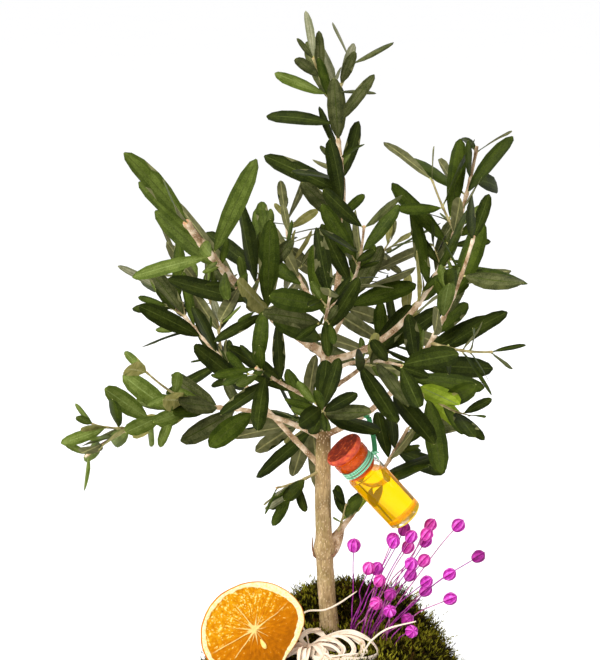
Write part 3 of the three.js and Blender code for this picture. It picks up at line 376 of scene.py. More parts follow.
# The tree's limbs and shoots. Each starts at a share of its parent's length and reaches by a
# vector, bowed at its middle. Root and tip are diameters, bare is the share without leaves, leaf
# the usual blade length, slim its width share, spread the leaf angle, and pairs the seeds of its
# leaf pairs.
groundZ = 92.0
shoots = [
    dict(name="trunk",
         reach=(-3.7, 0, 121.1), bow=(-2, 0, 0.5), root=10.4, tip=8.4),
    dict(name="leader", parent="trunk", at=1,
         reach=(0.5, 2, 47.8), bow=(-0.6, 0, -0.8), root=5.2, tip=4.4),
    dict(name="top", mass="top", parent="leader", at=1,
         reach=(3.1, 2, 138.6), bow=(8.5, 3, 0.5), root=4, tip=2.2,
         bare=0.44, leaf=37, slim=0.21, spread=48,
         pairs=(14071, 22456, 2772, 28019, 11615, 28833, 22206, 1078)),
    dict(name="top_left", mass="top", parent="top", at=1,
         reach=(-10.1, -10, 23.8), bow=(0, 0, -1.4), root=2, tip=1.2,
         bare=0, leaf=25, slim=0.25, spread=45,
         pairs=(3527, 13418, 28508)),
    dict(name="top_right", mass="top", parent="top", at=1,
         reach=(11.8, 8, 19.5), bow=(0, 0, -1.2), root=2, tip=1.2,
         bare=0, leaf=25, slim=0.25, spread=45,
         pairs=(19140, 9165, 9490)),
    dict(name="upper_left", mass="upper_left", parent="leader", at=0.9,
         reach=(-74.8, -63.8, 83.5), bow=(-3.1, 4.1, -5.7), root=5, tip=3.8,
         bare=0.27, leaf=47, slim=0.205, spread=55,
         pairs=(14329, 2102, 25204, 13309, 1624, 9526, 28404, 18007)),
    dict(name="upper_left_side", mass="upper_left", parent="upper_left", at=0.5,
         reach=(7.8, 4, 25.6), bow=(0, 0, -1.4), root=2, tip=1.3,
         bare=0.1, leaf=38, slim=0.24, spread=45,
         pairs=(22754, 13429, 24546)),
    dict(name="mid_left", mass="mid_left", parent="trunk", at=0.8,
         reach=(-95.1, 46, 98.1), bow=(-0.2, -7, -0.4), root=3.4, tip=1.7,
         bare=0.42, leaf=34, slim=0.225, spread=55,
         pairs=(6200, 19202, 11528, 5349, 29777, 9741, 15209, 17680, 14419)),
    dict(name="mid_left_side", mass="mid_left", parent="mid_left", at=0.62,
         reach=(-22.1, 52.1, 39.9), bow=(5.2, 4, 6), root=1.8, tip=1.2,
         bare=0.15, leaf=30, slim=0.23, spread=50,
         pairs=(29999, 4647, 20564, 26233)),
    dict(name="low_left", mass="low_left", parent="trunk", at=0.945,
         reach=(-133.3, -32, -2.9), bow=(-1.8, -4, 23.9), root=3, tip=1.4,
         bare=0.26, leaf=29, slim=0.31, spread=60,
         pairs=(14098, 4678, 18101, 3053, 7314, 18301, 29193, 21724, 21206, 26394, 5756, 19281)),
    dict(name="low_left_side", mass="low_left", parent="low_left", at=0.5,
         reach=(-29.7, -20, 24.5), bow=(0, 0, -2.2), root=1.7, tip=1.1,
         bare=0.1, leaf=26, slim=0.33, spread=50,
         pairs=(20088, 29008, 28105)),
    dict(name="low_left_tip", mass="low_left", parent="low_left", at=0.8,
         reach=(-20.5, -11.8, 4.7), bow=(0, 0, -1.2), root=1.4, tip=1,
         bare=0.1, leaf=25, slim=0.28, spread=42,
         pairs=(22894, 26862, 4123)),
    dict(name="right_low", mass="right_low", parent="trunk", at=0.965,
         reach=(81.1, -40, 119.9), bow=(8.9, -2, -16.7), root=3.8, tip=1.8,
         bare=0.32, leaf=36, slim=0.255, spread=55,
         pairs=(22474, 19084, 17711, 13752, 29168, 13514, 14799, 22367, 26896)),
    dict(name="right_droop", mass="right_low", parent="right_low", at=0.46,
         reach=(25.5, -31.6, -13.9), bow=(0, 0, -2.1), root=1.9, tip=1.2,
         bare=0.1, leaf=36, slim=0.27, spread=55,
         pairs=(20138, 10092, 8663, 4790)),
    dict(name="right_side", mass="right_low", parent="right_low", at=0.62,
         reach=(33, -15.3, -2.5), bow=(0, 0, -1.8), root=1.8, tip=1.2,
         bare=0.15, leaf=34, slim=0.25, spread=50,
         pairs=(7429, 19036, 13640, 3834)),
    dict(name="upper_right", mass="upper_right", parent="leader", at=0.82,
         reach=(88.4, 40.4, 118.4), bow=(11.7, 2.2, -27.9), root=4.2, tip=1.8,
         bare=0.46, leaf=38, slim=0.24, spread=55,
         pairs=(14957, 16177, 17677, 15662, 7320, 26339, 10573, 1134, 5277, 19382)),
    dict(name="upper_right_side", mass="upper_right", parent="upper_right", at=0.76,
         reach=(-13.8, -3.9, 30.4), bow=(0, 0, -1.7), root=1.6, tip=1.1,
         bare=0.15, leaf=36, slim=0.24, spread=42,
         pairs=(17622, 20307, 27865)),
    dict(name="inner_right", mass="inner_right", parent="leader", at=0.45,
         reach=(52.1, 87.1, 27.9), bow=(0.5, -4.4, -4), root=3, tip=1.5,
         bare=0.4, leaf=36, slim=0.26, spread=55,
         pairs=(28677, 13363, 6760, 29283, 12673, 7919, 3787, 10471)),
    dict(name="low_right", mass="low_right", parent="trunk", at=0.41,
         reach=(49, 26, 65.2), bow=(0, 0, -4.3), root=3.2, tip=1.7,
         bare=0.5, leaf=34, slim=0.27, spread=50,
         pairs=(5119, 12400, 21004, 28437, 13053)),
    dict(name="low_twig", mass="low_twig", parent="trunk", at=0.8,
         reach=(-26.7, -18, -6.8), bow=(0, 0, -1.6), root=1.9, tip=1.2,
         bare=0.25, leaf=28, slim=0.23, spread=50,
         pairs=(12147, 28146, 27664, 15056)),
    dict(name="inner_top", mass="inner_top", parent="top", at=0.2,
         reach=(14.9, -32.3, 43.8), bow=(2.5, 1.8, -10.8), root=2.4, tip=1.3,
         bare=0.35, leaf=32, slim=0.23, spread=50,
         pairs=(24965, 27028, 558, 8026, 8299)),
    dict(name="back_left", mass="back_left", parent="top", at=0.12,
         reach=(-26.5, 74.5, 43.8), bow=(-4.9, -4.8, -6.7), root=3, tip=1.5,
         bare=0.4, leaf=36, slim=0.25, spread=55,
         pairs=(29212, 16456, 661, 8536, 28431, 28507, 12067, 26380)),
    dict(name="front_low", mass="front_low", parent="leader", at=0.25,
         reach=(-1.5, -62.5, 13.5), bow=(0, 0, -3.2), root=2.6, tip=1.4,
         bare=0.35, leaf=36, slim=0.29, spread=65,
         pairs=(14535, 9174, 28600, 18366, 3864)),
    dict(name="back_right", mass="back_right", parent="leader", at=0.86,
         reach=(36.3, 74.3, 51.1), bow=(-1.8, -4.9, 2.2), root=3, tip=1.5,
         bare=0.4, leaf=38, slim=0.26, spread=55,
         pairs=(19189, 2524, 7502, 27883, 13388, 574, 19066, 29164)),
    dict(name="front_mid", mass="front_mid", parent="leader", at=0.7,
         reach=(2.6, -59.4, 52.8), bow=(-1.6, -1.7, 0.1), root=2.6, tip=1.4,
         bare=0.35, leaf=36, slim=0.26, spread=60,
         pairs=(2523, 16043, 20492, 24149, 13927, 9032)),
    dict(name="front_right", mass="front_right", parent="leader", at=0.6,
         reach=(41.6, -63.2, 20.1), bow=(-3.2, 0.4, 6.1), root=2.6, tip=1.4,
         bare=0.35, leaf=38, slim=0.29, spread=60,
         pairs=(7674, 27289, 24997, 2824, 18974, 9795)),
    dict(name="front_left", mass="front_left", parent="leader", at=0.3,
         reach=(-37.3, -52.6, 31.3), bow=(-0.3, -0.3, -0.8), root=2.6, tip=1.4,
         bare=0.35, leaf=38, slim=0.24, spread=55,
         pairs=(7966, 17780, 6155, 11999, 14808, 24797)),
    dict(name="low_bud", mass="low_bud", parent="low_right", at=0.16,
         reach=(4.5, -12.2, 20.2), bow=(0, 0, -1.2), root=1.5, tip=1,
         bare=0.25, leaf=22, slim=0.42, spread=50,
         pairs=(26053, 14211, 26908)),
    dict(name="back_low", mass="back_low", parent="trunk", at=0.93,
         reach=(-14.7, 84, -5.3), bow=(1, -2, 3.9), root=2.6, tip=1.4,
         bare=0.35, leaf=34, slim=0.27, spread=60,
         pairs=(24132, 12573, 14947, 25036, 749, 1515, 15908)),
]
growth = {"step": 4, "margin": 1.6, "woodClear": 1.6, "lowest": 40, "widest": 12.5,
          "bottleClear": 13.5}
bladeStations = np.array([0, 0.14, 0.33, 0.55, 0.78, 1])
bladeWidths = np.array([0.02, 0.55, 0.95, 1, 0.66, 0])
bottleTop = np.array((5.8, -38.7, 210.5))
bottleFoot = np.array((42.1, -25.4, 168.2))
drawSet = {"start": 48271, "factor": 16807, "range": 2147483647, "skipped": 3}


def seeded(seed):
    # endless draws from 0 to 1 that depend on the seed alone
    state = seed * drawSet["start"] % drawSet["range"]
    for _ in range(drawSet["skipped"]):
        state = state * drawSet["factor"] % drawSet["range"]
    while True:
        state = state * drawSet["factor"] % drawSet["range"]
        yield state / drawSet["range"]


def onShoot(shoot, t):
    t = np.asarray(t, float)[..., None]
    return shoot["start"] + shoot["reach"] * t + shoot["bow"] * 4 * t * (1 - t)


def headingOf(shoot, t):
    return unit(shoot["reach"] + shoot["bow"] * (4 - 8 * t))


def radiusOf(shoot, t):
    return (shoot["root"] + (shoot["tip"] - shoot["root"]) * t) / 2


byName = {}
stemPoints, stemMass, woodPoints, woodRadii = [], [], [], []
for shoot in shoots:
    shoot["reach"] = np.array(shoot["reach"], float)
    shoot["bow"] = np.array(shoot["bow"], float)
    parent = byName.get(shoot.get("parent"))
    shoot["start"] = onShoot(parent, shoot["at"]) if parent else np.array((0, 0, groundZ))
    byName[shoot["name"]] = shoot
    line = onShoot(shoot, np.linspace(0, 1, 21))
    shoot["length"] = np.linalg.norm(np.diff(line, axis=0), axis=1).sum()
    count = max(4, int(shoot["length"] / growth["step"]))
    for t in np.arange(count + 1) / count:
        if "mass" in shoot and t >= shoot["bare"]:
            stemPoints.append(onShoot(shoot, t))
            stemMass.append(shoot["mass"])
        else:
            woodPoints.append(onShoot(shoot, t))
            woodRadii.append(radiusOf(shoot, t))
stemPoints, stemMass = np.array(stemPoints), np.array(stemMass)
woodPoints, woodRadii = np.array(woodPoints), np.array(woodRadii)
massNames = list(dict.fromkeys(shoot["mass"] for shoot in shoots if "mass" in shoot))


# How the two leaves of a node vary: a pair is a least value and a span; roll, phase, droop and
# twist are spans about zero
leafRule = {"node": (0.3, 0.5), "tipNode": 0.985, "tipSpread": 0.62, "roll": 2, "phase": 0.6,
            "spread": (0.65, 0.7), "droop": 0.7, "twist": 2.6, "length": (0.62, 0.8),
            "shrink": 0.25, "width": (0.85, 0.3), "bend": 0.16, "bendBack": 0.25}


def leafPair(shoot, k, count, seed):
    # the two opposite leaves of one node of a shoot
    draw = seeded(seed)

    def about(name):
        return (next(draw) - 0.5) * leafRule[name]

    def within(name):
        least, span = leafRule[name]
        return least + span * next(draw)

    last = k == count - 1
    first, span = leafRule["node"]
    drawn = shoot["bare"] + (1 - shoot["bare"]) * (k + first + span * next(draw)) / count
    t = leafRule["tipNode"] if last else drawn
    heading = headingOf(shoot, t)
    side = unit(np.cross(heading, aslant(heading)))
    rise = np.cross(side, heading)
    roll = math.pi / 2 * k + about("roll")
    spread = math.radians(shoot["spread"]) * (leafRule["tipSpread"] if last else 1)
    pair = []
    for half in range(2):
        phase = roll + math.pi * half + about("phase")
        angle = spread * within("spread")
        outward = side * math.cos(phase) + rise * math.sin(phase)
        along = heading * math.cos(angle) + outward * math.sin(angle)
        along = unit(along + np.array((0, 0, about("droop"))))
        flat = unit(np.cross(heading, along))
        face = np.cross(along, flat)
        twist = about("twist")
        across = flat * math.cos(twist) + face * math.sin(twist)
        length = shoot["leaf"] * within("length") * (1 - leafRule["shrink"] * (k / count) ** 2)
        width = min(length * shoot["slim"] * within("width"), growth["widest"])
        bend = (next(draw) - leafRule["bendBack"]) * leafRule["bend"] * length
        pair.append({"base": onShoot(shoot, t), "along": along, "across": across,
                     "normal": np.cross(along, across), "length": length, "width": width,
                     "bend": bend, "shoot": shoot, "t": t, "seed": seed * 2 + half})
    return pair


def leafOutline(leaf, shares, offsets):
    middle = leaf["base"] + np.outer(shares * leaf["length"], leaf["along"])
    middle = middle - np.outer(shares ** 2 * leaf["bend"], leaf["normal"])
    return middle + np.outer(offsets * leaf["width"] / 2, leaf["across"])


def leafFits(leaf):
    # keeps to its own mass's space, off the wood, the bottle and the ground
    left = leafOutline(leaf, bladeStations[1:], bladeWidths[1:])
    right = leafOutline(leaf, bladeStations[1:], -bladeWidths[1:])
    points = np.concatenate([left, right])
    gaps = np.linalg.norm(points[:, None] - stemPoints, axis=2)
    own = stemMass == leaf["shoot"]["mass"]
    if (gaps[:, own].min(1) + growth["margin"] > gaps[:, ~own].min(1)).any():
        return False
    axis = bottleFoot - bottleTop
    share = np.clip((points - bottleTop) @ axis / (axis @ axis), 0, 1)
    aside = points - bottleTop - share[:, None] * axis
    if np.linalg.norm(aside, axis=1).min() < growth["bottleClear"]:
        return False
    if points[:, 2].min() < groundZ + growth["lowest"]:
        return False
    blade = np.concatenate([left[1:], right[1:]])
    gaps = np.linalg.norm(blade[:, None] - woodPoints, axis=2) - woodRadii
    return gaps.min() >= growth["woodClear"]


leaves = []
for shoot in shoots:
    pairs = shoot.get("pairs", ())
    for k, seed in enumerate(pairs):
        leaves += [leaf for leaf in leafPair(shoot, k, len(pairs), seed) if leafFits(leaf)]
print("leaves of the main shoots", len(leaves))

# Finer growth: side sprigs in the leaf axils, with small leaves that keep clear of the others.
# They thin out away from the heart of the crown and are commoner behind it.
sprigSet = {
    "seed": 11, "chance": 0.7, "heart": np.array((-4, 0, 265)), "heartSize": 88, "thinOut": 1.25,
    "behind": 14, "behindGain": 0.7, "behindFar": 1.15, "tries": 6, "long": (7, 13), "ahead": 1.1,
    "aside": 0.7, "stray": 0.35, "pairs": 2, "seeds": (1, 30000), "near": 50, "clear": 2.6,
    "least": 2, "samples": np.linspace(0.12, 1, 9), "sampleWide": 0.8,
    "shoot": {"root": 1.0, "tip": 0.6, "bare": 0.35, "leaf": 17, "slim": 0.3, "spread": 48},
}


def leafSamples(leaf):
    shares = sprigSet["samples"]
    widths = np.interp(shares, bladeStations, bladeWidths) * sprigSet["sampleWide"]
    return np.concatenate([leafOutline(leaf, shares, widths * side) for side in (-1, 0, 1)])


def growSprig(leaf, dice):
    # one try at a sprig beside a leaf, and its small leaves that fit
    s = sprigSet
    heading = headingOf(leaf["shoot"], leaf["t"])
    lean = unit(heading * s["ahead"] + leaf["along"] * s["aside"] + dice.normal(0, s["stray"], 3))
    long = dice.uniform(*s["long"])
    sprig = dict(leaf["shoot"], name="sprig", start=leaf["base"], reach=lean * long,
                 bow=np.zeros(3), length=long, **s["shoot"])
    small = []
    for k in range(s["pairs"]):
        small += leafPair(sprig, k, s["pairs"], int(dice.integers(*s["seeds"])))
    crowd = np.concatenate(taken)
    crowd = crowd[np.abs(crowd - leaf["base"]).max(1) < s["near"]]
    kept = []
    for one in small:
        gaps = np.linalg.norm(leafSamples(one)[:, None] - crowd, axis=2)
        if gaps.min() > s["clear"] and leafFits(one):
            kept.append(one)
    return sprig, kept


taken = [leafSamples(leaf) for leaf in leaves]
sprigs = []
dice = np.random.default_rng(sprigSet["seed"])
for leaf in list(leaves):
    far = np.linalg.norm(leaf["base"] - sprigSet["heart"]) / sprigSet["heartSize"]
    behind = leaf["base"][1] > sprigSet["behind"] and far < sprigSet["behindFar"]
    gain = sprigSet["behindGain"] if behind else 0
    if dice.random() > sprigSet["chance"] * (sprigSet["thinOut"] - far) + gain:
        continue
    for _ in range(sprigSet["tries"]):
        sprig, kept = growSprig(leaf, dice)
        if len(kept) >= sprigSet["least"]:
            leaves += kept
            taken += [leafSamples(one) for one in kept]
            sprigs.append(sprig)
            break
print("leaves with the finer sprigs", len(leaves), "on", len(sprigs), "sprigs")


# Bark finishes
def trunkBark(place):
    grain = cloud(stretched(place, (1, 1, 0.2)), 1100, 4)
    patches = cloud(stretched(place, (1, 1, 0.6)), 110, 3)
    specks = 1 - step(cells(stretched(place, (1, 1, 0.5)), 900), 0.12, 0.36)
    algae = step(cloud(stretched(place, (1, 1, 0.5)), 75, 3), 0.52, 0.66)
    tone = ramp(patches, (0.3, rgb(138, 113, 74)), (0.46, rgb(186, 158, 112)),
                (0.58, rgb(206, 178, 132)), (0.7, rgb(216, 180, 148)))
    tone = blendColours(algae * 0.4, tone, rgb(158, 146, 84))
    tone = blendColours(step(grain, 0.4, 0.66) * 0.6, tone, rgb(132, 106, 70))
    # the top of the trunk and the foot of the leader are darkened: painted shade of the crown above
    height = place.node("SeparateXYZ", None, {"Vector": place}, out="Z")
    crownShade = step(height + patches * 0.012, 0.201, 0.213) * (1 - step(height, 0.24, 0.27))
    tone = blendColours(crownShade * 0.85, tone, rgb(100, 75, 46))
    return {
        "Base Color": blendColours(specks * 0.65, tone, rgb(242, 218, 178)),
        "Roughness": 0.72 + grain * 0.2,
        "Specular IOR Level": 0.12,
        "Normal": relief(grain * 0.8 + specks * 0.5 + patches * 0.5, 0.6, 0.5),
    }


def twigBark(place):
    grain = cloud(place, 700, 4)
    patches = cloud(place, 160, 2)
    specks = 1 - step(cells(place, 900), 0.15, 0.35)
    tone = ramp(patches, (0.34, rgb(136, 104, 72)), (0.5, rgb(188, 160, 126)),
                (0.66, rgb(228, 208, 182)))
    return {
        "Base Color": blendColours(specks * 0.6, tone, rgb(242, 228, 206)),
        "Roughness": 0.62 + grain * 0.25,
        "Specular IOR Level": 0.12,
        "Normal": relief(grain + specks * 0.6, 0.45, 0.35),
    }


def youngStem(place):
    patches = cloud(place, 240, 2)
    return {
        "Base Color": ramp(patches, (0.35, rgb(140, 124, 80)), (0.65, rgb(190, 176, 124))),
        "Roughness": 0.6,
        "Specular IOR Level": 0.12,
        "Normal": relief(cloud(place, 1200), 0.3, 0.2),
    }


def dryWood(dark, light, scale, detail, roughness):
    def build(place):
        return {
            "Base Color": ramp(cloud(place, scale, detail), (0.35, dark), (0.65, light)),
            "Roughness": roughness,
        }
    return build


barkMaterial = makeMaterial("trunk_bark", trunkBark)
twigMaterial = makeMaterial("twig_bark", twigBark)
stemMaterial = makeMaterial("young_stem", youngStem)
cutMaterial = makeMaterial("cut_end", dryWood(rgb(172, 118, 80), rgb(222, 178, 136), 1500, 2, 0.75))
huskMaterial = makeMaterial("bud_scale", dryWood(rgb(104, 68, 44), rgb(158, 116, 84), 900, 3, 0.8))

# Trunk: root flare, swollen node of the side shoot with a scar below it, drawn-in neck at the fork,
# and bark with ridges and warts
trunkSet = {"footZ": 89.0, "topShare": 1.02, "flare": 0.8, "flareHeight": 7.0, "flareLobe": 0.3,
            "nodeShare": 0.41, "nodeSwell": 1.1, "nodeHeight": 5.0, "nodeLobe": 0.35,
            "scar": 0.35, "scarBelow": 0.035, "scarHeight": 0.7, "neck": 1.5, "neckHeight": 6.0,
            "ridge": 0.28, "fine": 0.12, "wart": 0.2, "warts": 120, "wartSize": (0.4, 0.75),
            "wartRadius": 5, "around": 36, "rings": 130, "seed": 3}


def barkRelief(s, angle, warts):
    # long ridges, fine grain and raised pores at one spot of the trunk
    ring = Vector((math.cos(angle), math.sin(angle), 0))
    ridge = noise.noise(ring * 2.2 + Vector((0, 0, s / 13)))
    fine = noise.noise(ring * 6 + Vector((5, 0, s / 3)))
    bump = 0
    for turn, place, size in warts:
        across = math.remainder(angle - turn, 2 * math.pi) * trunkSet["wartRadius"]
        if abs(place - s) < 2 and abs(across) < 2:
            bump += math.exp(-(across / size) ** 2 - ((place - s) / (size * 1.3)) ** 2)
    return ridge, fine, bump


def scatterWarts(length):
    dice = np.random.default_rng(trunkSet["seed"])
    return [(dice.uniform(-math.pi, math.pi), dice.uniform(0, length),
             dice.uniform(*trunkSet["wartSize"])) for _ in range(trunkSet["warts"])]


def trunkTube():
    s = trunkSet
    shoot = byName["trunk"]
    rings, length = s["rings"], shoot["length"]
    sunk = (s["footZ"] - groundZ) / length
    shares = np.linspace(sunk, s["topShare"], rings + 1)
    warts = scatterWarts(length)

    def radiusAt(i, angle):
        t = shares[i]
        height = max(t * length, 0)
        node = (t - s["nodeShare"]) * length / s["nodeHeight"]
        below = max(0, s["neckHeight"] - (1 - t) * length) / s["neckHeight"]
        ridge, fine, bump = barkRelief(i / rings * length, angle, warts)
        nodeLobes = 1 + s["nodeLobe"] * math.cos(angle * 2 + 0.6)
        flareLobes = 1 + s["flareLobe"] * math.cos(angle * 3 + 1)
        swell = s["nodeSwell"] * math.exp(-node * node) * nodeLobes
        flare = s["flare"] * math.exp(-height / s["flareHeight"]) * flareLobes
        scarGap = (t - s["nodeShare"] + s["scarBelow"]) * length / s["scarHeight"]
        scar = s["scar"] * math.exp(-scarGap ** 2)
        return (radiusOf(shoot, t) + flare + swell + scar - s["neck"] * below * below
                + s["ridge"] * ridge + s["fine"] * fine + s["wart"] * bump)

    return tube(onShoot(shoot, shares), radiusAt, s["around"])


# Limbs by kind: corners around, length of a ring, grain, and the collar where one joins its parent
limbKinds = {
    "leader": {"around": 24, "perRing": 0.9, "rough": 0.05, "collar": 0.3},
    "bough": {"around": 14, "perRing": 1.1, "rough": 0.07, "collar": 0.4},
    "boughEnd": {"around": 10, "perRing": 1.1, "rough": 0.06},
    "branch": {"around": 8, "perRing": 1.2, "rough": 0.06, "collar": 0.35},
    "sprig": {"around": 6, "perRing": 1.6, "rough": 0.04, "collar": 0.5},
}
knotSet = {"swell": 0.22, "length": 1.1, "most": 0.3}


def limbTube(shoot, start, stop, nodes, around, perRing, rough, collar=0.0, collarLength=2.6):
    # a bough or twig with bark grain, a swollen collar at its root and a swelling at each leaf node
    length = shoot["length"] * (stop - start)
    rings = max(5, int(length / perRing))
    shares = np.linspace(start, stop, rings + 1)
    shift = Vector(shoot["start"]) * 0.37
    knots = np.array([node * shoot["length"] for node in nodes] or [-99.0])

    def radiusAt(i, angle):
        t = shares[i]
        s = t * shoot["length"]
        base = radiusOf(shoot, t)
        ring = Vector((math.cos(angle), math.sin(angle), 0))
        grain = noise.noise(ring * 1.6 + shift + Vector((0, 0, s / 5)))
        grain += 0.5 * noise.noise(ring * 4 + shift + Vector((0, 0, s / 1.8)))
        swell = knotSet["swell"] * base * np.exp(-((knots - s) / knotSet["length"]) ** 2).sum()
        root = collar * base * math.exp(-max(s - radiusOf(shoot, 0), 0) / collarLength)
        return base + rough * base * grain + min(swell, knotSet["most"] * base) + root

    return tube(onShoot(shoot, shares), radiusAt, around)


# Dried bud scales left standing at the node of the side shoot
budSet = {
    "rings": 9, "around": 8, "root": 1.0, "taper": 0.085, "flat": 0.12,
    "lines": [
        [(-7.4, -1.0, 138.5), (-9.6, -1.4, 140.5), (-10.3, -1.6, 144.5), (-10.0, -1.6, 149.0)],
        [(-7.6, -2.2, 137.5), (-9.4, -2.8, 138.6), (-9.9, -3.0, 141.5)],
        [(0.8, -3.4, 138.5), (2.6, -4.2, 139.6), (3.6, -4.4, 142.6)],
    ],
}


def budRadius(i, angle):
    return budSet["root"] - budSet["taper"] * i + budSet["flat"] * math.cos(2 * angle)


leaderNodes = (0.25, 0.45, 0.7, 0.9)
trunkWood = trunkTube()
addTo(trunkWood, limbTube(byName["leader"], 0, 1.01, leaderNodes, **limbKinds["leader"]))
for line in budSet["lines"]:
    addTo(trunkWood, tube(smoothPath(line, budSet["rings"]), budRadius, budSet["around"]), 1)
toPiece("trunk_and_leader", trunkWood, [barkMaterial, huskMaterial], ("trunk", "leader"))

# Boughs, with a thick heel under the lowest one that runs into it at two distances along it
boughSet = {"overlap": 0.01, "nodeAt": 0.4,
            "collars": {"low_right": {"collar": 1.5, "collarLength": 8.5}}}
heelSet = {
    "lines": {"low_right": [(0.2, 0.6, 136.5), (3.0, 1.4, 141.0), (5.0, 3.0, 146.5)]},
    "joins": np.array([18.0, 25.0]), "rings": 21, "around": 14, "radius": 1.5, "swell": 1.0,
    "taper": 0.02,
}


def heelRadius(i, angle):
    swell = heelSet["swell"] * math.sin(math.pi * i / (heelSet["rings"] - 1))
    return heelSet["radius"] + swell - heelSet["taper"] * i


nodeShares = {}
for leaf in leaves:
    nodeShares.setdefault(leaf["shoot"]["name"], []).append(leaf["t"])
boughWood = bmesh.new()
twigWood = bmesh.new()
for shoot in shoots:
    if "mass" not in shoot:
        continue
    name, bare, knots = shoot["name"], shoot["bare"], nodeShares.get(shoot["name"], ())
    if byName[shoot["parent"]].get("mass") == shoot["mass"] or name in ("low_twig", "low_bud"):
        addTo(twigWood, limbTube(shoot, 0, 1, knots, **limbKinds["branch"]), 1)
        continue
    kind = {**limbKinds["bough"], **boughSet["collars"].get(name, {})}
    stop, node = bare + boughSet["overlap"], boughSet["nodeAt"] * bare
    addTo(boughWood, limbTube(shoot, 0, stop, (node,), **kind))
    if name in heelSet["lines"]:
        joins = onShoot(shoot, heelSet["joins"] / shoot["length"])
        path = smoothPath([*heelSet["lines"][name], *joins], heelSet["rings"])
        addTo(boughWood, tube(path, heelRadius, heelSet["around"]))
    addTo(twigWood, limbTube(shoot, bare, 1, knots, **limbKinds["boughEnd"]), 0)
for sprig in sprigs:
    addTo(twigWood, limbTube(sprig, 0, 1, (), **limbKinds["sprig"]), 1)
# the ends of twigs show cut wood
for face in twigWood.faces:
    if len(face.verts) > 4:
        face.material_index = 2
boughNodes = [name for name in frame["nodes"] if name.startswith("bough_")]
foliageNodes = [name for name in frame["nodes"] if name.startswith("foliage_")]
toPiece("boughs", boughWood, [twigMaterial], boughNodes)
toPiece("twigs", twigWood, [twigMaterial, stemMaterial, cutMaterial], foliageNodes)


# Leaf finishes: leathery upper faces in a few greens, each with a darker rim colour that paints the
# shade of the curved edges, pale ribs and stalks, felted undersides
def upperFace(dark, light, gloss):
    def build(place):
        patches = cloud(place, 170, 2)
        felt = cloud(place, 1500, 3)
        dust = 1 - step(cells(place, 1400), 0.1, 0.24)
        tone = ramp(patches * 0.5 + felt * 0.5, (0.39, dark), (0.61, light))
        return {
            "Base Color": blendColours(dust * 0.26, tone, rgb(112, 120, 84)),
            "Roughness": gloss + patches * 0.16,
            "Specular IOR Level": 0.045,
            "Normal": relief(felt * 0.7 + patches * 0.6, 0.42, 0.3),
        }
    return build


def plainFace(dark, light, roughness, scale=500):
    def build(place):
        patches = cloud(place, scale, 3)
        return {
            "Base Color": ramp(patches, (0.32, dark), (0.68, light)),
            "Roughness": roughness,
            "Specular IOR Level": 0.06,
            "Normal": relief(cloud(place, 1800, 2), 0.2, 0.15),
        }
    return build


leafColours = [
    ("deep_rim", upperFace, (24, 32, 4), (40, 48, 10), 0.42),
    ("deep", upperFace, (32, 41, 7), (54, 63, 17), 0.4),
    ("green_rim", upperFace, (37, 49, 8), (57, 69, 15), 0.42),
    ("green", upperFace, (47, 59, 12), (72, 85, 24), 0.4),
    ("fresh_rim", upperFace, (64, 78, 22), (92, 106, 42), 0.44),
    ("fresh", upperFace, (78, 91, 32), (112, 125, 60), 0.42),
    # grey leaves: grey-green of their own, their greyness also standing in for a painted sheen
    ("grey_rim", upperFace, (44, 49, 22), (78, 81, 44), 0.48),
    ("grey", upperFace, (56, 62, 30), (96, 98, 60), 0.46),
    ("rib", plainFace, (52, 62, 18), (74, 84, 32), 0.5),
    ("rib_fresh", plainFace, (98, 112, 52), (126, 140, 76), 0.5),
    ("under", plainFace, (84, 86, 52), (122, 121, 80), 0.75, 220),
    ("under_warm", plainFace, (116, 114, 58), (158, 152, 90), 0.75, 220),
    ("under_rib", plainFace, (132, 130, 80), (166, 162, 108), 0.7),
    ("stalk", plainFace, (160, 160, 84), (206, 202, 136), 0.55),
    ("lime_rim", upperFace, (92, 112, 16), (126, 144, 34), 0.44),
    ("lime", upperFace, (112, 132, 24), (150, 168, 54), 0.42),
    ("silver_rim", upperFace, (98, 101, 72), (128, 129, 98), 0.5),
    ("silver", upperFace, (118, 120, 90), (156, 154, 126), 0.5),
    ("mid_rim", upperFace, (48, 60, 14), (70, 82, 28), 0.43),
    ("mid", upperFace, (60, 72, 20), (88, 101, 40), 0.41),
]
leafMaterials = [makeMaterial("leaf_" + name, finish(rgb(*dark), rgb(*light), *more))
                 for name, finish, dark, light, *more in leafColours]
leafKind = {row[0]: number for number, row in enumerate(leafColours)}
# Colours of a leaf's rim (darker, painted shade), upper face, rib and underside
tints = {
    "deep": ("deep_rim", "deep", "rib", "under"),
    "green": ("green_rim", "green", "rib", "under"),
    "fresh": ("fresh_rim", "fresh", "rib_fresh", "under_warm"),
    "grey": ("grey_rim", "grey", "rib", "under"),
    "warm": ("green_rim", "green", "rib", "under_warm"),
    "lime": ("lime_rim", "lime", "rib_fresh", "under_warm"),
    "silver": ("silver_rim", "silver", "under", "under_warm"),
    "mid": ("mid_rim", "mid", "rib", "under"),
}
# Most leaves take the first of these whose number is above their draw
commonTints = (("deep", 0.46), ("green", 0.8), ("grey", 0.92), ("silver", 0.95), ("fresh", 0.975),
               ("warm", 1.0))

# Shoots whose lowest leaves are young and lime green, and how far up
limeBelow = {"low_bud": 0.45, "right_droop": 0.28}

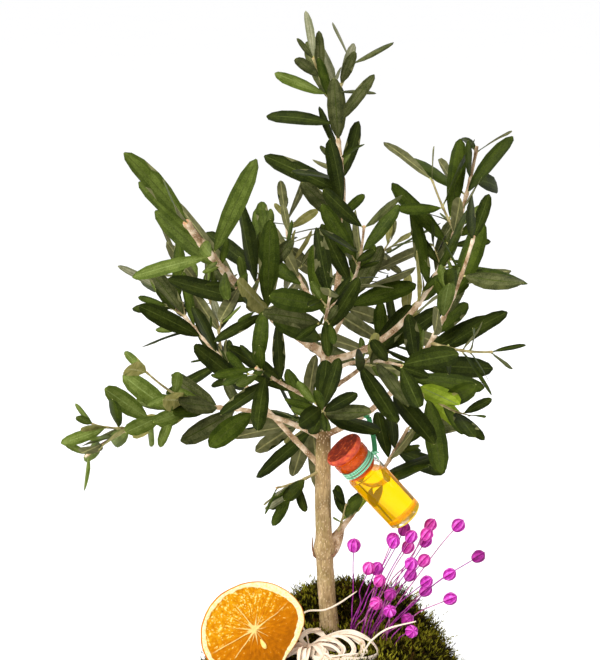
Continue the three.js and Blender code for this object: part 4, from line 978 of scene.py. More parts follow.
# One blade: rings of eight corners from stalk to tip, six on the upper face and two under it
bladeSet = {
    "shares": np.array([0, 0.06, 0.12, 0.24, 0.42, 0.62, 0.82, 0.95, 1.0]),
    "widths": np.array([0, 0, 0.34, 0.69, 0.94, 1.0, 0.88, 0.53, 0.1]),
    "across": np.array([-1, -0.55, -0.06, 0.06, 0.55, 1, 0.1, -0.1]),
    "below": np.array([0, 0, 0, 0, 0, 0, 1, 1]),
    "stalk": 0.5,
    "stalkDepth": 0.75,
    "stalkFold": 0.2,
    "rib": 0.42,
    "rise": (0.06, 0.42),
    "roll": (0.12, 0.5),
    "wave": (0, 0.16),
    "waves": (6, 11),
    "twist": 0.28,
    "sway": 0.035,
    "curl": (0.01, 0.03),
    "flipChance": 0.05,
    "out": 0.75,
    "lean": np.array((20, 20, 0)),
    "front": 0.8,
    "frontFrom": 22.0,
    "frontOver": 60.0,
    "up": 0.7,
    "turn": (0.4, 0.75),
    "sprigTurn": (0.2, 0.95),
}
# the rim is the two outer strips of the upper face, painted darker as shade where the blade curves
# away
bladeParts = ("rim", "upper", "rib", "upper", "rim", "under", "under_rib", "under")
ringCount, ringSize = len(bladeSet["shares"]), len(bladeSet["across"])


def bladeQuads():
    quads, parts = [], []
    for ring in range(ringCount - 1):
        for corner in range(ringSize):
            a, b = ring * ringSize + corner, ring * ringSize + (corner + 1) % ringSize
            quads.append((a, b, b + ringSize, a + ringSize))
            parts.append(bladeParts[corner] if ring else "stalk")
    for ring, order in ((0, 1), (ringCount - 1, -1)):
        for cap in ((0, 7, 2, 1), (2, 7, 6, 3), (3, 6, 5, 4)):
            quads.append(tuple(ring * ringSize + corner for corner in cap[::order]))
            parts.append("stalk")
    return np.array(quads)[:, ::-1], parts


def bladePoints(leaf, dice):
    # a leaf's corners, with its fold, rolled edges, twist, sway and wave
    b = bladeSet
    shares, across, blade = b["shares"], b["across"], b["widths"] > 0
    half = np.where(blade, b["widths"] * leaf["width"] / 2, b["stalk"])[:, None]
    rise, roll = dice.uniform(*b["rise"]), dice.uniform(*b["roll"])
    waveHeight = dice.uniform(*b["wave"])
    wave = waveHeight * np.sin(shares * dice.uniform(*b["waves"]) + dice.uniform(0, 6))[:, None]
    fold = np.where(blade, 1, b["stalkFold"])[:, None]
    offset = half * across
    height = half * (rise * np.abs(across) - roll * across ** 2 + wave * across ** 2) * fold
    depth = np.where(blade, b["rib"] * (1.1 - 0.6 * shares), b["stalkDepth"])[:, None]
    height = height - depth * b["below"]
    twist = (dice.normal(0, b["twist"]) * shares)[:, None]
    flat = offset * np.cos(twist) - height * np.sin(twist)
    lift = offset * np.sin(twist) + height * np.cos(twist)
    sway = dice.normal(0, b["sway"]) * leaf["length"]
    curl = dice.normal(*b["curl"]) * leaf["length"]
    flat = flat + (sway * shares ** 2)[:, None]
    lift = lift - (leaf["bend"] * shares ** 2 + curl * shares ** 3)[:, None]
    along = np.broadcast_to((shares * leaf["length"])[:, None], flat.shape)
    points = (leaf["base"] + along[..., None] * leaf["along"] + flat[..., None] * leaf["across"]
              + lift[..., None] * leaf["normal"])
    return points.reshape(-1, 3)


def turnedToLight(leaf, facing):
    # a blade that stands edge-on to the light is rolled part of the way back to it
    off = math.atan2(leaf["across"] @ facing, leaf["normal"] @ facing)
    steady, follow = bladeSet["sprigTurn"] if leaf["shoot"]["name"] == "sprig" else bladeSet["turn"]
    roll = math.copysign(max(abs(off) - steady, 0), off) * follow
    across = leaf["across"] * math.cos(roll) - leaf["normal"] * math.sin(roll)
    normal = leaf["normal"] * math.cos(roll) + leaf["across"] * math.sin(roll)
    return dict(leaf, across=across, normal=normal)


def leafTint(leaf, dice):
    shoot = leaf["shoot"]
    chance = dice.random()
    if shoot["mass"] == "low_left":
        young = leaf["t"] > 0.5 or shoot["name"] == "low_left_side"
        return "fresh" if young and chance < 0.85 else ("green" if chance < 0.6 else "grey")
    if leaf["t"] < limeBelow.get(shoot["name"], 0):
        return "lime"
    if shoot["mass"] == "upper_left" and leaf["t"] > 0.6 and chance < 0.7:
        return "mid" if chance < 0.5 else "fresh"
    if shoot["name"] in ("top_left", "top_right") and chance < 0.75:
        return "silver" if chance < 0.6 else "grey"
    if shoot["name"] == "sprig" and chance < 0.3:
        return "fresh"
    return next(tint for tint, share in commonTints if chance < share)


def leafPiece(name, group):
    quads, parts = bladeQuads()
    allPoints, allQuads, allKinds = [], [], []
    for number, leaf in enumerate(group):
        dice = np.random.default_rng(leaf["seed"])
        outward = unit(leaf["base"] * np.array((1, 1, 0)) + leaf["along"] * bladeSet["lean"])
        depth = (leaf["base"][1] - bladeSet["frontFrom"]) / bladeSet["frontOver"]
        front = bladeSet["front"] * (1 - min(max(depth, 0), 1))
        facing = bladeSet["out"] * outward + np.array((0, -front, bladeSet["up"]))
        turned = leaf["normal"] @ facing < 0
        if turned != (dice.random() < bladeSet["flipChance"]):
            leaf = dict(leaf, across=-leaf["across"], normal=-leaf["normal"], bend=-leaf["bend"])
        leaf = turnedToLight(leaf, facing if leaf["normal"] @ facing > 0 else -facing)
        colours = dict(zip(("rim", "upper", "rib", "under"), tints[leafTint(leaf, dice)]))
        allPoints.append(bladePoints(leaf, dice))
        allQuads.append(quads + number * ringCount * ringSize)
        allKinds += [leafKind[colours.get(part, part)] for part in parts]
    mesh = arrayMesh(name, np.concatenate(allPoints), np.concatenate(allQuads), np.array(allKinds),
                     True)
    corner = np.tile(np.arange(ringCount * ringSize) % ringSize, len(group))
    edges = np.zeros(len(mesh.edges) * 2, np.int32)
    mesh.edges.foreach_get("vertices", edges)
    rims = np.isin(corner[edges], (0, 5)).reshape(-1, 2).all(axis=1)
    mesh.edges.foreach_set("use_edge_sharp", rims)
    return mesh


for mass in massNames:
    group = [leaf for leaf in leaves if leaf["shoot"]["mass"] == mass]
    slotName = "young_leaf" if mass == "low_left" else "leaf"
    blades = leafPiece("leaves_" + mass, group)
    toPiece("leaves_" + mass, blades, leafMaterials, ("foliage_" + mass,))


# Moss mound and its sprigs
mossSet = {
    "edgeRadius": 71.0, "edgeTop": 67.0, "crown": 23.0, "fullness": 8, "foot": 64.0, "bank": 19.0,
    "bankX": 18.0, "bankY": 33.0, "bankWide": 42.0, "bankDeep": 22.0, "clump": 1.1, "lumps": 1.6,
    "fineLumps": 0.6, "dip": 3.5, "dipWide": 8.5, "under": 0.6, "steps": 110,
    "sprigs": 5800, "triesPerSprig": 9, "steepest": 5, "trunkClear": 6.4, "sliceClear": 4.5,
    "sliceEdge": 3, "sunk": 1.2, "stray": 0.44, "tall": (4.6, 10.2), "pressed": 30.0,
    "pressedAside": (6, -6), "dry": 0.08, "blades": 14, "blade": 3.1, "slim": 0.27, "green": 0.35,
    "tip": 0.7, "dull": -0.2, "seed": 21,
}
raffiaKnot = (-12.0, -33.0)


def mossHeight(x, y):
    m = mossSet
    r = np.minimum(np.hypot(x, y) / m["edgeRadius"], 1)
    dome = m["crown"] * (1 - r ** m["fullness"])
    bankX = (x - m["bankX"]) / m["bankWide"]
    bankY = (y - m["bankY"]) / m["bankDeep"]
    bank = m["bank"] * np.exp(-bankX ** 4 - np.abs(bankY) ** 3) * (1 - r ** 6)
    clumps = np.sin(x * 0.31 + 1.3) * np.cos(y * 0.27) + np.sin(x * 0.13 - y * 0.37)
    return m["edgeTop"] + dome + bank + m["clump"] * clumps * (1 - r ** 4)


# The moss bed is near black: painted shade deep in the moss between the sprigs.
def mossBed(place):
    fibres = cloud(place, 900, 4)
    patches = cloud(place, 60, 3)
    tone = ramp(fibres, (0.35, rgb(10, 7, 2)), (0.55, rgb(25, 20, 4)), (0.75, rgb(46, 40, 8)))
    return {
        "Base Color": blendColours(step(patches, 0.5, 0.68), tone, rgb(30, 20, 9)),
        "Roughness": 0.95,
        "Specular IOR Level": 0.05,
        "Normal": relief(fibres + patches, 1.0, 1.5),
    }


def mossBlade(dark, light):
    def build(place):
        return {
            "Base Color": ramp(cloud(place, 120, 3), (0.34, dark), (0.66, light)),
            "Roughness": 0.7,
            "Specular IOR Level": 0.06,
        }
    return build


mossColours = [
    # low blades, next to the bed, are darker: painted shade within the moss
    ("low", (16, 11, 2), (33, 25, 4)),
    ("green", (41, 36, 4), (70, 63, 7)),
    ("tip", (96, 95, 15), (158, 152, 42)),
    ("dry", (52, 35, 11), (94, 66, 25)),
]
mossMaterials = [makeMaterial("moss_bed", mossBed)]
mossMaterials += [makeMaterial("moss_" + name, mossBlade(rgb(*dark), rgb(*light)))
                  for name, dark, light in mossColours]
lowBlade, greenBlade, tipBlade, dryBlade = 1, 2, 3, 4


def mossMound():
    m = mossSet
    edge = m["edgeRadius"]
    profile = [(0, 0)] + [(edge * share, 0) for share in np.linspace(0.03, 0.985, 34)]
    profile += [(edge, m["edgeTop"] - 1.2), (edge - 3, m["foot"]), (0, m["foot"])]
    mound = spun(profile, m["steps"])
    for vert in mound.verts:
        if vert.co.z < 1:
            x, y = vert.co.x, vert.co.y
            out = math.hypot(x, y)
            lump = m["lumps"] * noise.noise(Vector((x * 0.16, y * 0.16, 3)))
            lump += m["fineLumps"] * noise.noise(Vector((x * 0.5, y * 0.5, 8)))
            dip = m["dip"] * math.exp(-(out / m["dipWide"]) ** 6)
            lump = lump * (1 - min(out / edge, 1) ** 6)
            vert.co.z = float(mossHeight(x, y)) + lump - dip - m["under"]
    bmesh.ops.recalc_face_normals(mound, faces=mound.faces)
    return mound


# Dried orange slice: its place, which the moss keeps clear of, and its rim as angles and radii
sliceSet = {"centre": Vector((-42.7, -43.5, 107.4)), "radius": 30.0, "thickness": 5.0, "lean": 14.0,
            "turn": 8.0, "rind": 0.8, "pith": 2.5, "core": 2.7, "membrane": 0.3, "warp": 0.8,
            "rings": 46, "steps": 220}
sliceRim = [(15, 29.6), (57, 27.5), (86, 26.6), (104, 26.3), (118, 26.5), (130, 27.2), (159, 29),
            (185, 30.6), (204, 31.4), (214, 31.2), (240, 30.4), (262, 30), (285, 29), (300, 26.5),
            (311, 23.4), (328, 23.4), (349, 25.3)]
sliceTurn = (Matrix.Rotation(math.radians(sliceSet["turn"]), 4, "Z")
             @ Matrix.Rotation(math.radians(90 - sliceSet["lean"]), 4, "X"))
slicePlace = Matrix.Translation(sliceSet["centre"]) @ sliceTurn
sliceAxis = np.array(sliceTurn @ Vector((0, 0, 1)))


def mossSprigs():
    m = mossSet
    dice = np.random.default_rng(m["seed"])
    tries = m["sprigs"] * m["triesPerSprig"]
    turn = dice.uniform(0, 2 * math.pi, tries)
    reach = m["edgeRadius"] * np.sqrt(dice.uniform(0, 1, tries)) * 0.995
    x, y = reach * np.cos(turn), reach * np.sin(turn)
    z = mossHeight(x, y)
    slopeX = mossHeight(x + 0.5, y) - mossHeight(x - 0.5, y)
    slopeY = mossHeight(x, y + 0.5) - mossHeight(x, y - 0.5)
    steep = np.sqrt(1 + slopeX ** 2 + slopeY ** 2)
    keep = dice.uniform(0, m["steepest"], tries) < np.minimum(steep, m["steepest"])
    keep &= np.hypot(x, y) > m["trunkClear"]
    apart = np.stack([x, y, z], 1) - np.array(sliceSet["centre"])
    beside = np.abs(apart @ sliceAxis) > m["sliceClear"]
    keep &= beside | (np.linalg.norm(apart, axis=1) > sliceSet["radius"] + m["sliceEdge"])
    pick = np.nonzero(keep)[0][:m["sprigs"]]
    count = len(pick)
    base = np.stack([x, y, z - m["sunk"]], 1)[pick]
    normal = np.stack([-slopeX, -slopeY, np.ones(tries)], 1)[pick] / steep[pick][:, None]
    stem = units(normal * 0.8 + np.array((0, 0, 0.5)) + dice.normal(0, m["stray"], (count, 3)))
    patch = np.array([noise.noise(Vector(p * 0.05)) for p in base])
    clump = np.array([noise.noise(Vector(p * 0.17)) for p in base])
    # the raffia presses the sprigs down beside its knot
    knotGap = base[:, :2] - np.array(raffiaKnot) - np.array(m["pressedAside"])
    pressed = np.clip(np.hypot(knotGap[:, 0], knotGap[:, 1]) / m["pressed"], 0.3, 1)
    tall = dice.uniform(*m["tall"], count) * (1 + 0.4 * patch + 0.6 * clump) * pressed
    side = units(np.cross(stem, dice.normal(0, 1, (count, 3))))
    rise = np.cross(stem, side)
    droop = dice.normal(0, 1, (count, 3)) * np.array((1, 1, 0.2))
    dry = dice.random(count) < m["dry"]
    points, kinds = [], []
    for j in range(m["blades"]):
        share = (j + 0.5) / m["blades"]
        phase = (j * 2.4 + dice.uniform(0, 6.3, count))[:, None]
        spread = 1.15 - 0.95 * share
        foot = base + stem * (tall * share * 0.85)[:, None]
        foot = foot + droop * (tall * share ** 2 * 0.2)[:, None]
        out = side * np.cos(phase) + rise * np.sin(phase)
        along = stem * math.cos(spread) + out * math.sin(spread)
        wide = units(np.cross(along, out) + 1e-9)
        long = (m["blade"] * (1 - 0.35 * share) * dice.uniform(0.75, 1.25, count))[:, None]
        slim = long * m["slim"] / 2
        middle = foot + along * long * 0.45
        corners = [foot, middle + wide * slim, foot + along * long, middle - wide * slim]
        points.append(np.stack(corners, 1))
        kind = np.full(count, lowBlade if share < m["green"] else greenBlade)
        if share >= m["tip"]:
            kind = np.where(patch + clump < m["dull"], greenBlade, tipBlade)
        kinds.append(np.where(dry, dryBlade, kind))
    points = np.stack(points, 1).reshape(-1, 3)
    quads = np.arange(len(points)).reshape(-1, 4)
    return arrayMesh("moss_sprigs", points, quads, np.stack(kinds, 1).ravel(), False)


toPiece("moss_mound", mossMound(), mossMaterials[:1], ("moss",))
toPiece("moss_sprigs", mossSprigs(), mossMaterials, ("moss",))

# Low clay pot, turned, with throwing lines and a worn rim; soil under the moss
potSet = {"height": 68.0, "baseRadius": 57.0, "rimRadius": 79.0, "lipHeight": 9.0, "lipStep": 2.4,
          "wall": 6.0, "floor": 7.0, "footHeight": 6.0, "footStep": 3.0, "steps": 128, "bow": 1.0,
          "round": 0.5}


def clay(place):
    lines = cloud(stretched(place, (0.12, 0.12, 1)), 900, 3)
    grit = cloud(place, 1400, 3)
    patches = cloud(place, 28, 4)
    height = place.node("SeparateXYZ", None, {"Vector": place}, out="Z")
    worn = step(height + patches * 0.004, 0.0655, 0.0695)
    foot = 1 - step(height + patches * 0.012, 0.006, 0.02)
    tone = ramp(patches, (0.3, rgb(92, 56, 40)), (0.5, rgb(116, 74, 54)), (0.72, rgb(136, 92, 68)))
    tone = blendColours(step(lines, 0.5, 0.7) * 0.5, tone, rgb(86, 54, 40))
    tone = blendColours(foot * 0.6, tone, rgb(70, 46, 36))
    return {
        "Base Color": blendColours(worn * 0.55, tone, rgb(170, 124, 96)),
        "Roughness": 0.62 + grit * 0.25,
        "Specular IOR Level": 0.3,
        "Normal": relief(lines * 0.8 + grit * 0.5, 0.5, 0.5),
    }


def soilGrain(place):
    crumbs = cells(place, 420)
    return {
        "Base Color": ramp(crumbs, (0.1, rgb(70, 50, 32)), (0.5, rgb(44, 31, 20)),
                           (0.9, rgb(26, 18, 12))),
        "Roughness": 0.95,
        "Specular IOR Level": 0.1,
        "Normal": relief(1 - crumbs, 1.0, 1.5),
    }


def potProfile():
    p = potSet
    lip = p["height"] - p["lipHeight"]
    wallTop = p["rimRadius"] - p["lipStep"]
    foot = p["baseRadius"] - p["footStep"]
    inner, innerFoot = p["rimRadius"] - p["wall"] - 0.4, p["baseRadius"] - p["wall"]
    profile = [(0, 0), (foot, 0), (foot, p["footHeight"] - 2), (p["baseRadius"], p["footHeight"])]
    for share in np.linspace(0.1, 0.9, 9):
        radius = p["baseRadius"] + (wallTop - p["baseRadius"]) * share
        height = p["footHeight"] + (lip - 2 - p["footHeight"]) * share
        profile.append((radius + p["bow"] * math.sin(math.pi * share), height))
    profile += [(wallTop, lip - 2), (p["rimRadius"], lip), (p["rimRadius"], p["height"] - 1.5),
                (p["rimRadius"] - 1.5, p["height"]), (inner + 1.2, p["height"]),
                (inner, p["height"] - 1.2), (innerFoot, p["floor"]), (0, p["floor"])]
    return profile


pot = spun(potProfile(), potSet["steps"], potSet["round"])
toPiece("clay_pot", pot, [makeMaterial("clay", clay)], ("pot",))
soilMaterial = makeMaterial("soil_grain", soilGrain)
for holder in frame["nodes"]["soil"].material_slots:
    holder.material = soilMaterial


# Oil bottle: glass vial, oil lying level in it, rough red stopper, and the thread it hangs by
bottleSet = {"radius": 10.6, "body": 37.6, "corner": 1.2, "base": 3.2, "cavity": 9.95, "bore": 8.2,
             "neckFoot": 40.0, "neck": 8.9, "lipFoot": 46.0, "lip": 10.4, "lipTop": 52.2,
             "oilGap": 0.02, "oilLevel": 198.2, "plugFoot": 38.0, "plug": 8.0, "capFoot": 52.5,
             "capTop": 57.3, "cap": 11.3, "steps": 72, "glassRound": 0.45, "capRound": 0.35}


def clearGlass(tint, bending, clear=1.0, paintedGlow=0.0):
    # bending is 1 where oil or cork lies against the glass and light goes straight on; the last
    # argument is a glow in the tint, painted light standing in for light scattered in the glass
    def build(place):
        return {
            "Base Color": tint,
            "Emission Color": tint,
            "Emission Strength": paintedGlow,
            "Roughness": 0.0,
            "IOR": bending,
            "Specular Tint": (0.4, 0.4, 0.36, 1),
            "Transmission Weight": clear,
            "Normal": relief(cloud(place, 90, 2), 0.05, 0.3),
        }
    return build


def oliveOil(bending):
    # the slight glow stands for light scattered within the oil
    def build(place):
        drift = cloud(place, 70, 2)
        return {
            "Base Color": ramp(drift, (0.3, rgb(249, 195, 0)), (0.6, rgb(252, 202, 2)),
                               (0.8, rgb(253, 208, 6))),
            "Emission Color": ramp(drift, (0.3, rgb(255, 200, 0)), (0.7, rgb(255, 209, 4))),
            "Emission Strength": 0.12,
            "Roughness": 0.0,
            "IOR": bending,
            "Transmission Weight": 0.96,
        }
    return build


def redStopper(base, dark):
    def build(place):
        grain = cloud(place, 420, 4)
        pits = 1 - step(cells(place, 520), 0.12, 0.3)
        tone = ramp(grain, (0.3, dark), (0.55, base), (0.75, rgb(232, 112, 48)))
        return {
            "Base Color": blendColours(pits * 0.5, tone, dark),
            "Roughness": 0.6,
            "Specular IOR Level": 0.12,
            "Normal": relief(grain - pits * 0.6, 0.7, 0.6),
        }
    return build


def twisted(base, light):
    def build(place):
        strands = place.node("TexWave", {"bands_direction": "DIAGONAL"},
                             {"Vector": place, "Scale": 420.0, "Distortion": 2.0})
        return {
            "Base Color": blendColours(strands, base, light),
            "Roughness": 0.6,
            "Normal": relief(strands, 0.5, 0.2),
        }
    return build


def vial():
    b = bottleSet
    outer = [(0, 0), (b["radius"] - b["corner"], 0), (b["radius"], b["corner"]),
             (b["radius"], b["body"]), (b["neck"], b["neckFoot"]), (b["neck"], b["lipFoot"]),
             (b["lip"], b["lipFoot"] + 1.2), (b["lip"], b["lipTop"] - 1),
             (b["lip"] - 1, b["lipTop"]), (b["bore"], b["lipTop"])]
    inner = [(b["bore"], b["neckFoot"] - 0.6), (b["cavity"], b["body"] - 0.6),
             (b["cavity"], b["base"] + 1), (b["cavity"] - 1, b["base"]), (0, b["base"])]
    glass = spun(outer + inner, b["steps"], b["glassRound"])
    inside = []
    for face in glass.faces:
        at = face.calc_center_median()
        onFloor = face.normal.z > 0.9 and at.z < b["base"] + 0.3
        if onFloor or face.normal.x * at.x + face.normal.y * at.y < -0.2:
            face.material_index = 2
            inside.append(face)
        else:
            face.material_index = 1 if at.z < b["base"] + 0.6 else 0
    laidAlong(glass, bottleFoot, bottleTop)
    around = {item for face in inside for item in (face, *face.edges, *face.verts)}
    bmesh.ops.bisect_plane(glass, geom=list(around), plane_co=(0, 0, b["oilLevel"]),
                           plane_no=(0, 0, 1))
    axis = Vector(unit(bottleTop - bottleFoot))
    for face in glass.faces:
        at = face.calc_center_median()
        inPlug = (at - Vector(bottleFoot)) @ axis > b["neckFoot"] - 0.7
        if face.material_index == 2 and at.z > b["oilLevel"] and not inPlug:
            face.material_index = 0
    return glass


def oilBody():
    b = bottleSet
    gap = b["oilGap"]
    wide, foot = b["cavity"] - gap, b["base"] + gap
    top, hollow = b["neckFoot"] - 0.65, b["plug"] + 0.05
    plugFoot = b["plugFoot"] - 0.05
    oil = spun([(0, foot), (wide - 1, foot), (wide, foot + 1), (wide, b["body"] - 0.6),
                (b["bore"] - gap, top), (hollow, top), (hollow, plugFoot), (0, plugFoot)],
               b["steps"])
    laidAlong(oil, bottleFoot, bottleTop)
    cut = bmesh.ops.bisect_plane(oil, geom=oil.verts[:] + oil.edges[:] + oil.faces[:],
                                 plane_co=(0, 0, b["oilLevel"]), plane_no=(0, 0, 1),
                                 clear_outer=True)
    rim = [item for item in cut["geom_cut"] if isinstance(item, bmesh.types.BMEdge)]
    for face in bmesh.ops.holes_fill(oil, edges=rim)["faces"]:
        face.smooth = False
        face.material_index = 1
    bmesh.ops.recalc_face_normals(oil, faces=oil.faces)
    return oil


def stopper():
    b = bottleSet
    cap, foot, top = b["cap"], b["capFoot"], b["capTop"]
    plug = [(0, b["plugFoot"]), (b["plug"] - 0.8, b["plugFoot"]), (b["plug"], b["plugFoot"] + 0.8),
            (b["plug"], foot), (b["lip"] - 0.4, foot), (b["lip"] - 0.2, foot + 1.1)]
    head = [(cap - 0.5, foot + 1.5), (cap, foot + 2.2), (cap, top - 0.9), (cap - 0.9, top),
            (cap * 0.6, top - 0.1), (0, top - 0.35)]
    cork = spun(plug + head, b["steps"], b["capRound"])
    for vert in cork.verts:
        if vert.co.z > foot + 0.5:
            wobble = noise.noise(vert.co * 0.35) * 0.22 + noise.noise(vert.co * 1.1) * 0.1
            vert.co += Vector((vert.co.x, vert.co.y, 0)) * wobble * 0.07
            vert.co.z += wobble * 0.5 - max(wobble, 0) * 0.4
    # faces below the cap take the plug colour, painted brighter to stand for light that the glass
    # keeps from them
    for face in cork.faces:
        height = face.calc_center_median().z
        onTop = face.normal.z > 0.9 and height > top - 0.8
        face.material_index = 1 if onTop else (2 if height < foot + 0.4 else 0)
    laidAlong(cork, bottleFoot, bottleTop)
    return cork


# the glass base is painted oil yellow and glows faintly: painted light standing in for oil light
# scattered into it
glassMaterials = [makeMaterial("clear_glass", clearGlass(rgb(252, 254, 250), 1.45)),
                  makeMaterial("oil_lit_glass", clearGlass(rgb(253, 220, 32), 1.45, 0.6, 0.14)),
                  makeMaterial("wetted_glass", clearGlass(rgb(255, 248, 176), 1.0))]
toPiece("vial", vial(), glassMaterials, ("bottle_glass",))
oilMaterials = [makeMaterial("olive_oil", oliveOil(1.0)),
                makeMaterial("oil_surface", oliveOil(1.46))]
toPiece("oil", oilBody(), oilMaterials, ("bottle_oil",))
# The plug inside the neck is painted brighter orange than the cap: painted light making up for the
# light the glass keeps from it.
stopperMaterials = [makeMaterial("stopper_red", redStopper(rgb(206, 84, 60), rgb(170, 58, 38))),
                    makeMaterial("stopper_top", redStopper(rgb(140, 42, 18), rgb(100, 28, 8))),
                    makeMaterial("stopper_plug_painted_light", redStopper(rgb(248, 100, 30), rgb(214, 74, 16)))]
toPiece("stopper", stopper(), stopperMaterials, ("bottle_stopper",))

# Mint thread wound on the neck, knotted, and a green ribbon from the knot to the bough
threadSet = {"radius": 0.62, "first": 40.9, "pitch": 1.6, "turns": 3, "lie": 9.5, "knotOut": 10.9,
             "knotUp": 1.9, "knot": 1.25, "ribbonWide": 3.1, "ribbonThick": 0.5, "loopWide": 0.8,
             "share": 0.22, "clear": 0.75, "leadOut": 12.2, "leadUp": 2.1}


def ribbon(path, wide, thick, faceTo=None, taper=1.0, cup=0.0):
    # flat band along a path, its broad side turned to one direction if given, cupped across and
    # drawn in at its ends
    rings = len(path) - 1
    heading, side, rise = carriedFrames(path)
    if faceTo is not None:
        side = np.cross(heading, faceTo)
        side /= np.maximum(np.linalg.norm(side, axis=1), 1e-6)[:, None]
        rise = np.cross(side, heading)

    def sectionAt(i, angle):
        trim = 1 - (1 - taper) * max(0, abs(i / rings - 0.5) * 2 - 0.7) / 0.3
        x, y = math.cos(angle), math.sin(angle)
        over = math.copysign(abs(y) ** 0.5, y) * thick / 2
        return x * wide / 2 * trim, over + cup * wide * (x * x - 0.5)

    return tube(path, sectionAt, 10, (heading, side, rise), True)


def threadPiece():
    t = threadSet
    axis = unit(bottleTop - bottleFoot)
    outward = unit(np.array((axis[2], 0, -axis[0])))
    aside = np.cross(axis, outward)
    whole = bmesh.new()
    turns = np.linspace(0, t["turns"] * 2 * math.pi, 40 * t["turns"])
    rise = t["first"] + t["pitch"] * turns / (2 * math.pi) + 0.16 * np.sin(turns * 0.7)
    around = np.outer(np.cos(turns), outward) + np.outer(np.sin(turns), aside)
    wound = bottleFoot + np.outer(rise, axis) + t["lie"] * around
    addTo(whole, tube(wound, lambda i, angle: t["radius"], 8), 0)
    knotPlace = bottleFoot + axis * (t["first"] + t["knotUp"]) + outward * t["knotOut"]
    knot = bmesh.new()
    bmesh.ops.create_icosphere(knot, subdivisions=3, radius=t["knot"])
    for vert in knot.verts:
        vert.co *= 1 + 0.22 * noise.noise(vert.co * 1.3)
    bmesh.ops.translate(knot, vec=Vector(knotPlace), verts=knot.verts)
    for face in knot.faces:
        face.smooth = True
    addTo(whole, knot, 0)
    for lean in (-0.9, 0.6):
        tail = knotPlace + np.array([[0, 0, 0], [1.6, -1.4, 1.2 * lean],
                                     [3.0, -2.2, 2.4 * lean - 1]])
        addTo(whole, tube(smoothPath(tail, 8), lambda i, angle: t["radius"] * 0.8, 6), 0)
    bough = byName["right_low"]
    hold = onShoot(bough, t["share"])
    lift = radiusOf(bough, t["share"]) + t["clear"]
    heading = headingOf(bough, t["share"])
    across = unit(np.cross(heading, (0, 1, 0)))
    level = np.cross(heading, across)
    turn = np.linspace(0, 2 * math.pi, 25)
    loop = hold + lift * (np.outer(np.cos(turn), across) + np.outer(np.sin(turn), level))
    loop = loop + np.outer(np.linspace(-0.7, 0.7, 25), heading)
    addTo(whole, ribbon(loop, t["ribbonWide"] * t["loopWide"], t["ribbonThick"]), 1)
    lead = bottleFoot + axis * (t["first"] + t["leadUp"]) + outward * t["leadOut"]
    below = loop[np.argmin(loop[:, 2])]
    strand = smoothPath([knotPlace, lead, lead * 0.6 + below * 0.4 + (0.6, -0.5, 0), below], 22)
    addTo(whole, ribbon(strand, t["ribbonWide"], t["ribbonThick"], np.array((0.25, -1, 0.1))), 1)
    return whole


threadMaterials = [makeMaterial("mint_thread", twisted(rgb(76, 160, 112), rgb(164, 224, 188))),
                   makeMaterial("green_ribbon", twisted(rgb(18, 104, 54), rgb(52, 158, 92)))]
toPiece("thread", threadPiece(), threadMaterials, ("thread",))


# Orange slice: turned disc with a warped outline, flesh sunk between membranes, and vesicles as
# radial streaks. A vein's row gives its angle, strength and reach.
sliceVeins = [(36, 1.0, 1.0), (62, 0.7, 0.6), (84, 1.0, 0.5), (127, 1.0, 0.9), (150, 0.65, 0.8),
              (174, 0.8, 0.7), (206, 1.0, 1.1), (233, 1.0, 0.9), (256, 0.65, 0.5), (278, 0.85, 0.5),
              (303, 0.6, 0.7), (332, 0.7, 0.6), (6, 0.65, 0.5)]
pipSet = {"size": (1.25, 3.1, 0.9), "taper": 0.35, "turn": 28, "at": (4.2, -8.2), "sunk": 0.35}
sliceTraits = ("flesh", "vein", "rind", "pale")


def rimScale(angle):
    # radius of the uneven rim at an angle, rounded off over a few degrees
    turns = math.degrees(angle) + np.arange(-12, 13, 3)
    rim = np.array(sliceRim)
    return np.interp(turns, rim[:, 0], rim[:, 1], period=360).mean() / sliceSet["radius"]


def fleshSkin(place):
    polar = place.node("UVMap", {"uv_map": "polar"})
    flesh, vein, rind, pale = (place.node("Attribute", {"attribute_name": name}, out="Fac")
                               for name in sliceTraits)
    streaks = cloud(stretched(polar, (64, 7, 1)), 1.0, 3)
    sacs = cells(stretched(polar, (104, 18, 1)), 1.0, "SMOOTH_F1")
    patches = cloud(place, 70, 3)
    # the upper-left trait lightens the flesh and adds glints there: painted light
    bright = streaks * 0.5 + patches * 0.3 + (1 - sacs) * 0.35 * pale + pale * 0.12
    glint = step(cloud(stretched(polar, (104, 24, 1)), 1.0, 2) + streaks + pale * 0.18, 1.25, 1.38)
    tone = ramp(bright, (0.34, rgb(152, 84, 0)), (0.46, rgb(172, 98, 0)), (0.58, rgb(184, 110, 0)),
                (0.76, rgb(204, 140, 8)))
    tone = blendColours(glint * 0.75, tone, rgb(240, 214, 124))
    grain = cloud(place, 900, 3)
    white = ramp(grain, (0.35, rgb(222, 202, 128)), (0.65, rgb(236, 228, 186)))
    tone = blendColours(step(vein + streaks * 0.3, 0.5, 1.0) * 0.85, tone, rgb(232, 208, 132))
    tone = blendColours(step(flesh + sacs * 0.12 - 0.06, 0.35, 0.65), white, tone)
    peel = ramp(patches, (0.35, rgb(184, 88, 8)), (0.5, rgb(200, 116, 8)),
                (0.65, rgb(212, 144, 24)))
    return {
        "Base Color": blendColours(step(rind, 0.4, 0.6), tone, peel),
        "Roughness": 0.42 + grain * 0.2,
        "Specular IOR Level": 0.05,
        "Normal": relief(streaks * 0.5 - sacs * pale * 0.8 + grain * 0.2, 0.6, 0.6),
    }


